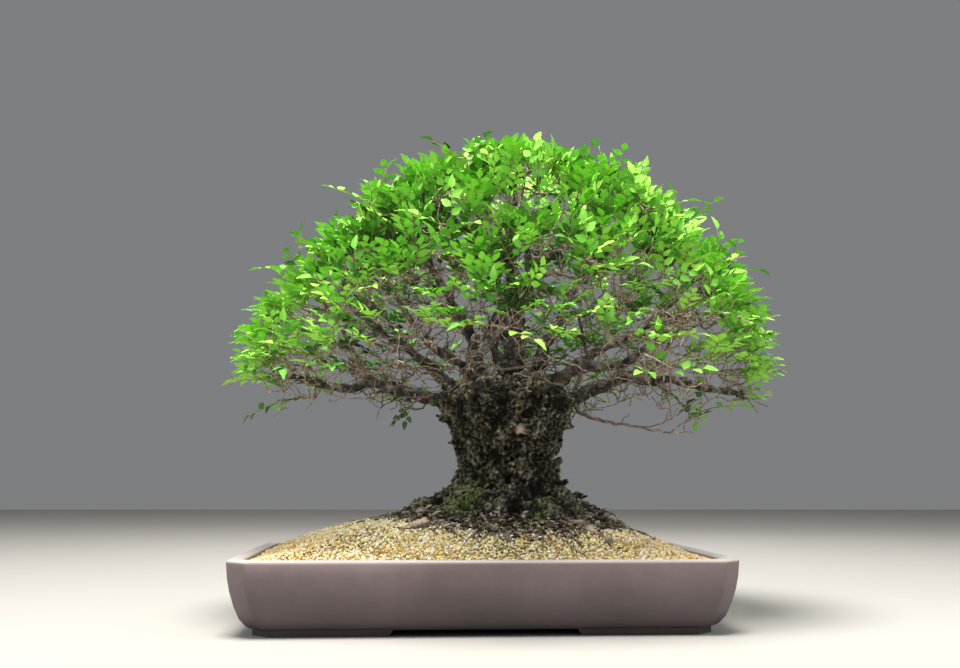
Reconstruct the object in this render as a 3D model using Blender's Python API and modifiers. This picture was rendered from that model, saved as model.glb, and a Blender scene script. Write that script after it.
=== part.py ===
# Chinese elm bonsai in a cut-corner tray, in metres, +Z up.
# The origin is on the surface that the pot stands on, straight under the trunk.
# The viewer's side is -Y. The pot stands a little to the left of the trunk.
import math
import random

import bmesh
import bpy
from mathutils import Matrix, Vector, geometry

# Clearances and the smallest wall
GAP = 0.0003
BLADE = 0.00065

# Every random draw starts from one of these seeds. A spray adds its own number to the last one.
SEEDS = {"soil": 11, "places": 5, "branches": 23, "spray": 100}

# Pot
POT_X = -0.034
POT_LENGTH = 0.500
POT_DEPTH = 0.350
POT_CORNER = 0.0185
CORNER_KEEP = 0.55
RIM_Z = 0.073
BODY_Z = 0.0065
FLOOR_Z = 0.0155
# Each pair is a height and how far the wall stands in from the rim's edge there.
POT_WALL = ((0.0065, 0.0225), (0.0095, 0.0175), (0.0165, 0.0120), (0.0290, 0.0072),
            (0.0430, 0.0034), (0.0560, 0.0012), (0.0715, 0.0000), (0.0730, 0.0012))
RIM_TOP = ((0.0736, 0.0035), (0.0734, 0.0106))
CAVITY_Z = (0.0718, 0.0450, FLOOR_Z)
CAVITY_IN_TOP = 0.0125
CAVITY_IN_FLOOR = 0.0250

# The pot's feet and drainage holes
FOOT_IN = 0.0240
FOOT_STRIP = 0.020
FOOT_INNER_CUT = 0.004
FOOT_CORNER = POT_CORNER * 0.95
FOOT_REACH_X = 0.132
FOOT_REACH_Y = 0.088
FOOT_SLANT = 0.006
FOOT_SINK = 0.002
DRAIN_X = 0.115
DRAIN_RADIUS = 0.014
DRAIN_SIDES = 20
DRAIN_CUT_Z = 0.011
DRAIN_CUT_DEPTH = 0.030

# Drainage screens and their wire clips
SCREEN_SIDE = 0.040
SCREEN_THICK = 0.0016
SCREEN_CELLS = 3
CLIP_RADIUS = 0.0007
CLIP_LEG = 0.0108
CLIP_TOE = 0.0080
CLIP_BEND = 0.0012
POCKET_TOP = 0.0210
POCKET_SPARE = 0.002
POCKET_SINK = 0.004

# Soil: the rings of the mound are shares of its edge, and every second one is turned a little.
SOIL_EDGE_Z = 0.0665
SOIL_TOP_Z = 0.1110
SOIL_POWER = 2.8
SOIL_RELIEF = 0.0013
SOIL_RINGS = (0.93, 0.81, 0.68, 0.54, 0.38)
RING_TURN = 0.3
EDGE_PITCH = 0.0532
FLOOR_PITCH = 0.050
FLAT = 1e-4

# Trunk: each pair is a height and the trunk's mean radius there.
TRUNK = ((0.052, 0.100), (0.096, 0.112), (0.110, 0.100), (0.124, 0.084), (0.138, 0.067), (0.156, 0.052),
         (0.176, 0.053), (0.196, 0.060), (0.216, 0.070), (0.238, 0.076), (0.256, 0.064), (0.268, 0.036))
TRUNK_SIDES = 16
TRUNK_DEPTH = 0.90
FLUTES = {"depth": 0.10, "rate": 4.5, "turn": 0.6, "top": 0.150, "height": 0.060}
# Each lump is its size, how many go round the trunk and its turn from ring to ring.
LUMPS = ((0.045, 3, 1.7), (0.030, 5, -2.3))

# Crown: a dome with a fuller right side. Its outline's powers are the left side's and what the right adds.
CROWN_X = -0.002
CROWN_Z = 0.250
CROWN_HALF_WIDTH = 0.328
CROWN_HALF_DEPTH = 0.262
CROWN_HEIGHT = 0.316
CROWN_SHOULDER = (1.8, 0.5)
CROWN_FULLNESS = (2.0, 0.2)
CROWN_TUCK = 0.5
CROWN_DROOP = -0.02
SPRAYS = 35
SPRAY_LOWEST = -0.07
SPRAY_HIGHEST = 0.985
SPRAY_DEPTH = 0.030
SPRAY_DEPTH_MORE = 0.010
FIRST_TURN = 0.4
TURN = math.pi * (3 - math.sqrt(5))

# Branches: where they may leave a limb, what makes a way costly, and how they bend and thin.
BRANCH_STOPS = (0.4, 0.7, 1.0)
BRANCH_FIRST_STOP = 0.9
BRANCH_SHORTEST = 0.012
BACK_COST = 0.5
TURN_COST = 0.6
DROP_COST = 0.25
TIP_FAVOUR = 0.045
BRANCH_LEAD = 0.36
BRANCH_TAIL = 0.30
BRANCH_BOW = 0.15
BRANCH_POINTS = 3
BRANCH_SHARE = 0.80
BRANCH_THIN = 0.0034
BRANCH_THICKENS = 0.016
BRANCH_END = 0.0028
BRANCH_NECK = 0.0120

# A spray's stem: its shoots leave it one after another, at these turns in degrees round it.
SPRAY_STEM = 0.0300
STEM_RADIUS = 0.0019
STEM_END = 0.0015
STEM_PAST = 0.0012
FORK = 0.0160
FORK_STEP = 0.0032
SHOOT_TURNS = (90, 200, 340)
BARE_TWIG = 0.0130

# Leaves and shoots. The outline is pairs of shares: along the leaf, and across it towards the shoot's end.
LEAF_LENGTH = 0.0200
LEAF_WIDTH = 0.0098
LEAF_OUTLINE = ((0.40, 0.50), (0.78, 0.33), (1.0, 0.0), (0.52, -0.47))
LEAF_PITCH = 0.0090
LEAVES = (4, 4, 4)
LEAF_ANGLE = (52, 60)
LEAF_VARIES = (0.93, 1.05)
FIRST_LEAF = 0.84
LEAF_GAIN = 0.04
END_LEAF = 0.95
NOTCH_BACK = 0.0012
END_NOTCH_BACK = 0.0010
SHOOT_FOOT = 0.0060
RIB = 0.0008
RIB_FOOT = 0.0005
ROW_LIFT = 0.22
ROW_CURL = 2.5
SHOOT_NOD = 3.2

# How a shoot is tried for room: points over it, angles in degrees, sizes, and the room that it needs.
REACH_ALONG = (0.15, 0.35, 0.55, 0.75, 0.90, 1.0)
REACH_ACROSS = (-1, -0.5, 0, 0.5, 1)
REACH_WIDTH = 0.9
REACH_NARROWS = 0.8
REACH_TIP = 0.5
TRIES = 60
TRIES_A_SIZE = 8
SHRINK = 0.04
SPREAD = 54
SPREAD_STEP = 4
SPREAD_STEPS = 4
ROLL = 25
SHOOT_RISE = 0.25
FACE_LEAN = (0.3, 0.9)
EDGE_ON = 0.93
STEEP = 0.2
NEAR = 0.12
ROOM_TO_SPRAYS = 0.001
ROOM_TO_WOOD = 0.004
ROOM_TO_TWIN = 0.003

# Limbs: a base radius, an end radius and the route's points, in millimetres.
LIMBS = {
    "left_low": (15, 5, ((-35, -5, 215), (-88, -18, 240), (-145, -26, 252), (-200, -22, 254), (-252, -30, 262))),
    "left_high": (14, 4, ((-35, 15, 235), (-90, 40, 285), (-150, 55, 330), (-200, 62, 372))),
    "left_back": (13, 4, ((-25, 30, 225), (-85, 85, 250), (-140, 130, 268), (-185, 150, 290))),
    "front_left": (14, 4, ((-15, -30, 230), (-50, -85, 262), (-95, -135, 290), (-125, -170, 330))),
    "front_right": (15, 4, ((10, -35, 235), (55, -80, 262), (105, -115, 268), (150, -160, 300))),
    "right_low": (16, 5, ((40, -8, 222), (98, -22, 250), (156, -35, 263), (215, -32, 254), (266, -40, 242))),
    "right_high": (14, 4, ((40, 12, 238), (95, 30, 290), (160, 45, 325), (215, 50, 370))),
    "right_back": (13, 4, ((30, 32, 228), (90, 80, 255), (145, 112, 270), (176, 122, 284))),
    "back": (13, 4, ((0, 40, 235), (10, 100, 285), (-10, 155, 335), (5, 180, 375))),
    "leader_left": (15, 4, ((-18, 0, 245), (-45, 10, 320), (-85, -5, 390), (-105, 5, 450))),
    "leader_middle": (17, 4, ((2, 5, 248), (15, 12, 330), (2, 0, 410), (12, 8, 490))),
    "leader_right": (15, 4, ((20, 0, 245), (55, -8, 320), (90, 10, 390), (130, 0, 450))),
    "leader_front": (13, 4, ((5, -22, 240), (-5, -62, 315), (15, -95, 380), (0, -120, 430))),
    "leader_back": (13, 4, ((5, 25, 245), (-10, 65, 320), (12, 95, 390), (0, 115, 445))),
}

# Surface roots: a compass angle in degrees, a base radius and a reach in millimetres.
ROOTS = ((184, 19, 150), (222, 15, 128), (262, 12, 112), (300, 14, 122), (338, 17, 150), (12, 18, 168),
         (55, 13, 125), (98, 14, 118), (140, 15, 130))
# A root's line: shares of its reach, and how high its middle lies over the mound there.
ROOT_LINE = ((0.34, 0.020), (0.55, 0.010), (0.74, 0.001), (0.88, -0.006), (1.0, -0.016))
ROOT_TAPER = 3.6
ROOT_DEPTH = 0.86
ROOT_SWING = 0.010
ROOT_SWING_RATE = 1.3
ROOT_WAVE = 5

# Healed cuts and burrs on the trunk: a compass angle in degrees, a height and a radius in millimetres.
KNOBS = ((198, 192, 15), (345, 156, 14), (262, 160, 13), (292, 208, 19), (248, 196, 16), (318, 186, 15),
         (225, 226, 18), (20, 196, 17), (75, 182, 18), (155, 165, 15), (270, 132, 19))
KNOB_SINK = 0.45
KNOB_TURN = 0.9
KNOB_AXIS = (1, 2, 3)
KNOB_SHAPE = (1.0, 0.85, 1.15, 1)

COLOURS = {
    "stoneware": (0.165, 0.120, 0.108),
    "soil": (0.52, 0.41, 0.21),
    "bark": (0.055, 0.045, 0.034),
    "leaf": (0.18, 0.46, 0.035),
    "screen": (0.02, 0.02, 0.02),
    "wire": (0.45, 0.30, 0.22),
}
ROUGHNESS = {"stoneware": 0.55, "soil": 0.95, "bark": 0.85, "leaf": 0.45, "screen": 0.5, "wire": 0.4}
METALLIC = {"wire": 1.0}


# Scene, collections and materials

def clear_scene():
    for obj in list(bpy.data.objects):
        bpy.data.objects.remove(obj, do_unlink=True)


def new_collection(name):
    collection = bpy.data.collections.new(name)
    bpy.context.scene.collection.children.link(collection)
    return collection


def material(name):
    made = bpy.data.materials.get(name)
    if made is None:
        made = bpy.data.materials.new(name)
        made.use_nodes = True
        shader = made.node_tree.nodes["Principled BSDF"]
        shader.inputs["Base Color"].default_value = (*COLOURS[name], 1.0)
        shader.inputs["Roughness"].default_value = ROUGHNESS[name]
        shader.inputs["Metallic"].default_value = METALLIC.get(name, 0.0)
    return made


def add_object(name, mesh, collection, finish=None):
    obj = bpy.data.objects.new(name, mesh)
    collection.objects.link(obj)
    if finish:
        mesh.materials.clear()
        mesh.materials.append(material(finish))
    return obj


def mesh_from(bm, name, triangulate=False):
    """A mesh with its faces out. Triangulated alike, a grown copy of it is larger everywhere."""
    bmesh.ops.recalc_face_normals(bm, faces=bm.faces)
    if triangulate:
        bmesh.ops.triangulate(bm, faces=bm.faces, quad_method="FIXED")
    mesh = bpy.data.meshes.new(name)
    bm.to_mesh(mesh)
    bm.free()
    return mesh


def evaluated_mesh(obj):
    bpy.context.view_layer.update()
    graph = bpy.context.evaluated_depsgraph_get()
    return bpy.data.meshes.new_from_object(obj.evaluated_get(graph))


def boolean(obj, operation, collection, solver="EXACT"):
    """Joins or cuts obj with everything in the collection, applies it and removes those objects."""
    change = obj.modifiers.new(operation.lower(), "BOOLEAN")
    change.operation = operation
    change.operand_type = "COLLECTION"
    change.collection = collection
    change.solver = solver
    mesh = evaluated_mesh(obj)
    obj.modifiers.clear()
    obj.data = mesh
    for other in list(collection.objects):
        bpy.data.objects.remove(other, do_unlink=True)
    bpy.data.collections.remove(collection)


# Tubes

def tube(name, route, start_radius, end_radius, collection, sides=6, grow=0.0):
    """A tapered tube along the route, as a closed mesh object. grow makes it wider and its end longer."""
    route = route[:-1] + [route[-1] + (route[-1] - route[-2]).normalized() * grow]
    curve = bpy.data.curves.new(name, "CURVE")
    curve.dimensions = "3D"
    curve.bevel_depth = 1.0
    curve.bevel_resolution = (sides - 4) // 2
    curve.use_fill_caps = True
    spline = curve.splines.new("POLY")
    spline.points.add(len(route) - 1)
    for number, (point, spot) in enumerate(zip(spline.points, route)):
        share = number / (len(route) - 1)
        point.co = (*spot, 1.0)
        point.radius = start_radius + (end_radius - start_radius) * share + grow
    guide = bpy.data.objects.new(name + "_guide", curve)
    collection.objects.link(guide)
    mesh = evaluated_mesh(guide)
    bpy.data.objects.remove(guide, do_unlink=True)
    bm = bmesh.new()
    bm.from_mesh(mesh)
    bmesh.ops.remove_doubles(bm, verts=bm.verts, dist=1e-6)
    bpy.data.meshes.remove(mesh)
    return add_object(name, mesh_from(bm, name, triangulate=True), collection)


# Pot

def tray_outline(inset):
    """The cut-corner outline, standing in from the rim's edge by inset, anticlockwise from the front left."""
    x = POT_LENGTH / 2 - inset
    y = POT_DEPTH / 2 - inset
    cut = POT_CORNER - inset * (2 - math.sqrt(2)) + inset * CORNER_KEEP
    corners = ((-x + cut, -y), (x - cut, -y), (x, -y + cut), (x, y - cut),
               (x - cut, y), (-x + cut, y), (-x, y - cut), (-x, -y + cut))
    return [Vector((POT_X + px, py)) for px, py in corners]


def cavity_inset(z):
    """How far the inner wall stands in from the rim's edge at a height."""
    share = (RIM_Z - z) / (RIM_Z - FLOOR_Z)
    return CAVITY_IN_TOP + (CAVITY_IN_FLOOR - CAVITY_IN_TOP) * share


def stack_rings(bm, levels):
    """A closed body through rings of like corners: levels is a list of (outline, z), first to last."""
    outline, z = levels[0]
    bottom = [bm.verts.new((p.x, p.y, z)) for p in outline]
    bm.faces.new(bottom)
    loop = [bm.edges.get((a, b)) for a, b in zip(bottom, bottom[1:] + bottom[:1])]
    ring = bottom
    for outline, z in levels[1:]:
        made = bmesh.ops.extrude_edge_only(bm, edges=loop)
        loop = [e for e in made["geom"] if isinstance(e, bmesh.types.BMEdge)]
        fresh = [v for v in made["geom"] if isinstance(v, bmesh.types.BMVert)]
        follow = {}
        for vert in fresh:
            below = next(e.other_vert(vert) for e in vert.link_edges if e.other_vert(vert) in ring)
            follow[below] = vert
        ring = [follow[below] for below in ring]
        for vert, p in zip(ring, outline):
            vert.co = (p.x, p.y, z)
    bm.faces.new(ring)


def make_pot(product):
    levels = [(tray_outline(inset), z) for z, inset in POT_WALL + RIM_TOP]
    levels += [(tray_outline(cavity_inset(z)), z) for z in CAVITY_Z]
    bm = bmesh.new()
    stack_rings(bm, levels)
    pot = add_object("pot", mesh_from(bm, "pot"), product, "stoneware")

    feet = new_collection("feet")
    for side_x in (-1, 1):
        for side_y in (-1, 1):
            make_foot(side_x, side_y, feet)
    boolean(pot, "UNION", feet)

    drains = new_collection("drains")
    for side in (-1, 1):
        bm = bmesh.new()
        place = Matrix.Translation((POT_X + side * DRAIN_X, 0, DRAIN_CUT_Z))
        bmesh.ops.create_cone(bm, cap_ends=True, segments=DRAIN_SIDES, radius1=DRAIN_RADIUS,
                              radius2=DRAIN_RADIUS, depth=DRAIN_CUT_DEPTH, matrix=place)
        add_object("drain", mesh_from(bm, "drain"), drains)
    boolean(pot, "DIFFERENCE", drains)


def make_foot(side_x, side_y, collection):
    """An L-shaped foot that follows one cut corner of the base and runs out along both sides."""
    outer = POT_LENGTH / 2 - FOOT_IN
    front = POT_DEPTH / 2 - FOOT_IN
    inner_x = outer - FOOT_STRIP
    inner_y = front - FOOT_STRIP
    reach_x = outer - FOOT_REACH_X
    reach_y = front - FOOT_REACH_Y
    shape = ((reach_x, front), (outer - FOOT_CORNER, front), (outer, front - FOOT_CORNER), (outer, reach_y),
             (inner_x, reach_y), (inner_x, inner_y - FOOT_INNER_CUT), (inner_x - FOOT_INNER_CUT, inner_y),
             (reach_x, inner_y))
    bm = bmesh.new()
    levels = []
    for z, back in ((0.0, 0.0), (BODY_Z + FOOT_SINK, FOOT_SLANT)):
        ring = [Vector((POT_X + side_x * (x - (back if x == reach_x else 0)),
                        side_y * (y - (back if y == reach_y else 0)))) for x, y in shape]
        levels.append((ring if side_x * side_y > 0 else ring[::-1], z))
    stack_rings(bm, levels)
    add_object("foot", mesh_from(bm, "foot"), collection)


# Soil

def divided_outline(outline, longest):
    """The same outline with its long sides divided."""
    points = []
    for start, end in zip(outline, outline[1:] + outline[:1]):
        pieces = max(1, round((end - start).length / longest))
        points += [start.lerp(end, step / pieces) for step in range(pieces)]
    return points


def soil_height(x, y):
    """The mound's surface over the pot, before its relief."""
    half_x = POT_LENGTH / 2 - CAVITY_IN_TOP
    half_y = POT_DEPTH / 2 - CAVITY_IN_TOP
    from_edge = max(abs((x - POT_X) / half_x), abs(y / half_y))
    from_trunk = min(1.0, math.hypot((x - POT_X) / half_x, y / half_y))
    share = (from_edge + from_trunk) / 2
    return SOIL_EDGE_Z + (SOIL_TOP_Z - SOIL_EDGE_Z) * (1 - min(1.0, share) ** SOIL_POWER)


def make_mound(product):
    rng = random.Random(SEEDS["soil"])
    low = divided_outline(tray_outline(cavity_inset(FLOOR_Z) + GAP), FLOOR_PITCH)
    edge = divided_outline(tray_outline(cavity_inset(SOIL_EDGE_Z) + GAP), EDGE_PITCH)
    levels = [(low, FLOOR_Z + GAP), (edge, SOIL_EDGE_Z)]
    centre = Vector((POT_X, 0.0))
    for number, share in enumerate(SOIL_RINGS):
        ring = [centre.lerp(p, share) for p in edge]
        if number % 2:
            ring = [p.lerp(q, RING_TURN) for p, q in zip(ring, ring[1:] + ring[:1])]
        levels.append((ring, SOIL_EDGE_Z))
    bm = bmesh.new()
    stack_rings(bm, levels)
    for vert in bm.verts:
        if vert.co.z > SOIL_EDGE_Z - FLAT:
            height = soil_height(vert.co.x, vert.co.y)
            rough = 0.0 if height - SOIL_EDGE_Z < FLAT else SOIL_RELIEF * rng.uniform(-1.0, 1.0)
            vert.co.z = height + rough
    return add_object("soil", mesh_from(bm, "soil", triangulate=True), product, "soil")


def make_soil(product):
    """The mound, less the trunk's base, the roots and the room over each drainage screen."""
    soil = make_mound(product)
    roots = new_collection("root_cutters")
    make_roots(roots, GAP)
    hollows = new_collection("soil_cutters")
    boolean(make_trunk("trunk_cutter", hollows, GAP), "UNION", roots, "MANIFOLD")
    height = POCKET_TOP - FLOOR_Z + POCKET_SINK
    room = SCREEN_SIDE + POCKET_SPARE
    for side in (-1, 1):
        bm = bmesh.new()
        place = Matrix.Translation((POT_X + side * DRAIN_X, 0, POCKET_TOP - height / 2))
        bmesh.ops.create_cube(bm, size=1.0, matrix=place @ Matrix.Diagonal((room, room, height, 1)))
        add_object("pocket", mesh_from(bm, "pocket"), hollows)
    boolean(soil, "DIFFERENCE", hollows, "MANIFOLD")


# Drainage screens and clips

def make_drains(product):
    for side, word in ((-1, "left"), (1, "right")):
        middle = Vector((POT_X + side * DRAIN_X, 0, FLOOR_Z + GAP + SCREEN_THICK / 2))
        bm = bmesh.new()
        bmesh.ops.create_grid(bm, x_segments=SCREEN_CELLS, y_segments=SCREEN_CELLS, size=SCREEN_SIDE / 2,
                              matrix=Matrix.Translation(middle))
        screen = add_object("drain_screen_" + word, mesh_from(bm, "screen"), product, "screen")
        bars = screen.modifiers.new("bars", "WIREFRAME")
        bars.thickness = SCREEN_THICK
        bars.use_boundary = True
        make_clip("drain_clip_" + word, middle, product)


def make_clip(name, middle, product):
    """A staple: its back lies on the screen, its legs go down the hole and its toes out under the pot."""
    back_z = middle.z + SCREEN_THICK / 2 + GAP + CLIP_RADIUS
    toe_z = BODY_Z - GAP - CLIP_RADIUS
    half = [(CLIP_LEG - CLIP_BEND, back_z), (CLIP_LEG, back_z - CLIP_BEND), (CLIP_LEG, toe_z + CLIP_BEND),
            (CLIP_LEG + CLIP_BEND, toe_z), (CLIP_LEG + CLIP_TOE, toe_z)]
    route = [Vector((middle.x + x, 0, z)) for x, z in half]
    mirror = [Vector((2 * middle.x - p.x, p.y, p.z)) for p in reversed(route)]
    wire = tube(name, mirror + route, CLIP_RADIUS, CLIP_RADIUS, product, sides=4)
    wire.data.materials.append(material("wire"))


# Wood

def trunk_ring(z, radius, number, grow):
    """One uneven ring of the trunk: fluted at the base, lumpy above."""
    ring = []
    base = max(0.0, min(1.0, (FLUTES["top"] - z) / FLUTES["height"]))
    for step in range(TRUNK_SIDES):
        angle = 2 * math.pi * step / TRUNK_SIDES
        flute = FLUTES["depth"] * base * math.cos(FLUTES["rate"] * angle + FLUTES["turn"])
        lump = sum(size * math.sin(count * angle + number * turn) for size, count, turn in LUMPS)
        r = radius * (1 + flute + lump) + grow
        ring.append(Vector((r * math.cos(angle), r * TRUNK_DEPTH * math.sin(angle))))
    return ring


def make_trunk(name, collection, grow=0.0):
    levels = []
    for number, (z, radius) in enumerate(TRUNK):
        low = -grow if number == 0 else 0.0
        levels.append((trunk_ring(z, radius, number, grow), z + low))
    bm = bmesh.new()
    stack_rings(bm, levels)
    return add_object(name, mesh_from(bm, name, triangulate=True), collection)


def root_route(angle_deg, reach):
    """A root's line: out of the trunk's foot, over the mound, then down into it."""
    angle = math.radians(angle_deg)
    away = Vector((math.cos(angle), math.sin(angle) * ROOT_DEPTH, 0))
    side = Vector((-away.y, away.x, 0))
    swing = ROOT_SWING * math.sin(angle_deg * ROOT_SWING_RATE)
    route = []
    for share, lift in ROOT_LINE:
        spot = away * (reach * share / 1000) + side * (swing * math.sin(share * ROOT_WAVE))
        route.append(Vector((spot.x, spot.y, soil_height(spot.x, spot.y) + lift)))
    return route


def make_roots(collection, grow=0.0):
    for number, (angle, radius, reach) in enumerate(ROOTS):
        start = radius / 1000
        tube(f"root_{number}", root_route(angle, reach), start, start / ROOT_TAPER, collection, grow=grow)


def trunk_radius(z):
    for (low, first), (high, second) in zip(TRUNK, TRUNK[1:]):
        if low <= z <= high:
            return first + (second - first) * (z - low) / (high - low)
    return TRUNK[-1][1]


def make_knobs(collection):
    for number, (angle_deg, z, size) in enumerate(KNOBS):
        angle = math.radians(angle_deg)
        z, size = z / 1000, size / 1000
        out = trunk_radius(z) - size * KNOB_SINK
        spot = Vector((out * math.cos(angle), out * TRUNK_DEPTH * math.sin(angle), z))
        bm = bmesh.new()
        turn = Matrix.Rotation(number * KNOB_TURN, 4, Vector(KNOB_AXIS))
        place = Matrix.Translation(spot) @ turn @ Matrix.Diagonal(KNOB_SHAPE)
        bmesh.ops.create_icosphere(bm, subdivisions=1, radius=size, matrix=place)
        add_object(f"knob_{number}", mesh_from(bm, "knob"), collection)


def limb_routes():
    """Every limb as a name, its route, and its radii at both ends."""
    limbs = []
    for name, (start, end, points) in LIMBS.items():
        route = [Vector(p) / 1000 for p in points]
        limbs.append((name, route, start / 1000, end / 1000))
    return limbs


def crown_point(azimuth, height_share):
    """A point on the crown's outside. height_share runs from below 0, under the rim, to 1 at the top."""
    rise = max(0.0, height_share)
    right = (1 + math.cos(azimuth)) / 2
    power = CROWN_SHOULDER[0] + CROWN_SHOULDER[1] * right
    root = CROWN_FULLNESS[0] + CROWN_FULLNESS[1] * right
    width = max(0.0, 1 - rise ** power) ** (1 / root)
    if height_share < 0:
        width = 1 + CROWN_TUCK * height_share
    return Vector((CROWN_X + CROWN_HALF_WIDTH * width * math.cos(azimuth),
                   CROWN_HALF_DEPTH * width * math.sin(azimuth),
                   CROWN_Z + CROWN_HEIGHT * height_share))


def crown_outward(spot):
    """The crown's outward direction at a point on or in it."""
    return Vector(((spot.x - CROWN_X) / CROWN_HALF_WIDTH ** 2, spot.y / CROWN_HALF_DEPTH ** 2,
                   max(CROWN_DROOP, spot.z - CROWN_Z) / CROWN_HEIGHT ** 2)).normalized()


def spray_places():
    """Each spray's middle and outward direction, evenly over the dome by the golden angle."""
    rng = random.Random(SEEDS["places"])
    places = []
    for number in range(SPRAYS):
        share = SPRAY_LOWEST + (SPRAY_HIGHEST - SPRAY_LOWEST) * (number + 0.5) / SPRAYS
        outside = crown_point(number * TURN + FIRST_TURN, share)
        outward = crown_outward(outside)
        depth = SPRAY_DEPTH + SPRAY_DEPTH_MORE * rng.random()
        places.append((outside - outward * depth, outward))
    return places


def turn_share(first, second):
    """0 where two directions agree, 1 at a right angle, 2 where they are opposite."""
    return 1 - max(-1.0, min(1.0, first.dot(second)))


def branch_start(root, outward, limbs, continued):
    """The best place on a limb for a branch to a spray's root, as a point, the limb's direction and radius
    there, and the limb's name if that place is its end. The first branch to reach an end carries the limb on."""
    best = None
    for name, route, start, end in limbs:
        last = len(route) - 1
        for number, (a, b) in enumerate(zip(route, route[1:])):
            for stop in BRANCH_STOPS:
                reached = number + stop
                spot = a.lerp(b, stop)
                along = (b - a).normalized()
                way = root - spot
                if reached <= BRANCH_FIRST_STOP or way.length < BRANCH_SHORTEST:
                    continue
                ahead = way.normalized()
                bend = BACK_COST * turn_share(along, ahead) + TURN_COST * turn_share(outward, ahead)
                cost = way.length * (1 + bend) + DROP_COST * max(0.0, spot.z - root.z)
                if reached == last and name not in continued:
                    cost -= TIP_FAVOUR
                if best is None or cost < best[0]:
                    radius = start + (end - start) * reached / last
                    best = (cost, spot, along, radius, name if reached == last else None)
    return best[1:]


def branch_to(root, outward, limbs, continued, rng):
    """A branch's route from its limb to a spray's root, and its start radius."""
    spot, along, limb_radius, tip = branch_start(root, outward, limbs, continued)
    continued.add(tip)
    neck = root - outward * BRANCH_NECK
    span = (neck - spot).length
    side = along.cross(outward)
    side = side.normalized() if side.length > 1e-3 else Vector((0, 0, 1))
    bow = side * span * rng.uniform(-BRANCH_BOW, BRANCH_BOW)
    points = geometry.interpolate_bezier(spot, spot + along * span * BRANCH_LEAD + bow,
                                         neck - outward * span * BRANCH_TAIL, neck, BRANCH_POINTS)
    radius = min(limb_radius * BRANCH_SHARE, BRANCH_THIN + span * BRANCH_THICKENS)
    return points + [root], radius


def plan_tree():
    """The limbs, the branches and the sprays' roots, all by rule from the values above."""
    rng = random.Random(SEEDS["branches"])
    limbs = limb_routes()
    branches, roots, continued = [], [], set()
    for middle, outward in spray_places():
        root = middle - outward * SPRAY_STEM
        route, radius = branch_to(root, outward, limbs, continued, rng)
        branches.append((route[:-1] + [root - outward * GAP], radius))
        roots.append((root, middle, outward))
    return limbs, branches, roots


def make_wood(product, limbs, branches):
    pieces = new_collection("wood_pieces")
    wood = make_trunk("trunk_and_branches", product)
    wood.data.materials.append(material("bark"))
    make_roots(pieces)
    make_knobs(pieces)
    for name, route, start, end in limbs:
        tube(name, route, start, end, pieces)
    for number, (route, radius) in enumerate(branches):
        tube(f"branch_{number}", route, radius, BRANCH_END, pieces, sides=4)
    boolean(wood, "UNION", pieces, "MANIFOLD")


def wood_segments(limbs, branches):
    """Capsules along the wood, for keeping leaves off it: two ends and a radius."""
    found = []
    for route, start, end in ([(r, a, b) for _, r, a, b in limbs]
                              + [(r, a, BRANCH_END) for r, a in branches]):
        for number, (a, b) in enumerate(zip(route, route[1:])):
            share = number / (len(route) - 1)
            found.append((a, b, start + (end - start) * share))
    return found


def distance_to_segment(spot, a, b):
    along = b - a
    share = max(0.0, min(1.0, (spot - a).dot(along) / max(along.length_squared, 1e-12)))
    return (spot - a - along * share).length


# Leafy shoots

def leaf_points(base, angle, length, width):
    """A lopsided leaf's outline from its inner shoulder round the tip to its outer one, in the shoot's plane."""
    along = Vector((math.cos(angle), math.sin(angle)))
    inner = Vector((along.y, -along.x)) * (1 if angle >= 0 else -1)
    return [base + along * (share * length) + inner * (across * width) for share, across in LEAF_OUTLINE]


def shoot_blade(bm, leaves, scale, rng):
    """A flat shoot: a narrow rib, two alternate rows of leaves that are cut to it, and a leaf at its end."""
    notches = {-1: [], 1: []}
    shoulders = {-1: [], 1: []}
    for number in range(leaves - 1):
        turn = 1 if number % 2 else -1
        at = (SHOOT_FOOT + number * LEAF_PITCH) * scale
        length = LEAF_LENGTH * scale * (FIRST_LEAF + LEAF_GAIN * number) * rng.uniform(*LEAF_VARIES)
        angle = turn * math.radians(rng.uniform(*LEAF_ANGLE))
        notches[turn].append(bm.verts.new((at - NOTCH_BACK, turn * RIB, 0)))
        shoulders[turn].append(leaf_points(Vector((at, 0)), angle, length, LEAF_WIDTH * scale))
    tip = (SHOOT_FOOT + (leaves - 1) * LEAF_PITCH) * scale
    for turn in (-1, 1):
        notches[turn].append(bm.verts.new((tip - END_NOTCH_BACK, turn * RIB, 0)))
        for first, second, points in zip(notches[turn], notches[turn][1:], shoulders[turn]):
            bm.faces.new([second, *(bm.verts.new((p.x, p.y, 0)) for p in points), first])
    end_size = scale * END_LEAF
    end_leaf = leaf_points(Vector((tip, 0)), 0.0, LEAF_LENGTH * end_size, LEAF_WIDTH * end_size)
    bm.faces.new([notches[-1][-1], *(bm.verts.new((p.x, p.y, 0)) for p in end_leaf), notches[1][-1]])
    foot = [bm.verts.new((-BARE_TWIG, turn * RIB_FOOT, 0)) for turn in (1, -1)]
    bm.faces.new([*foot, *notches[-1], *reversed(notches[1])])


def shoot_frame(base, along, up):
    """A matrix that lays a shoot's plane at base, running along, with its upper face towards up."""
    x = along.normalized()
    y = up.cross(x).normalized()
    z = x.cross(y)
    turn = Matrix((x, y, z)).transposed().to_4x4()
    return Matrix.Translation(base) @ turn


def arch(spot, scale):
    """Lifts the rows a little and lets the shoot's end nod."""
    x, y = spot.x / scale, spot.y / scale
    return scale * (ROW_LIFT * abs(y) - ROW_CURL * y * y - SHOOT_NOD * max(0.0, x) ** 2)


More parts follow.
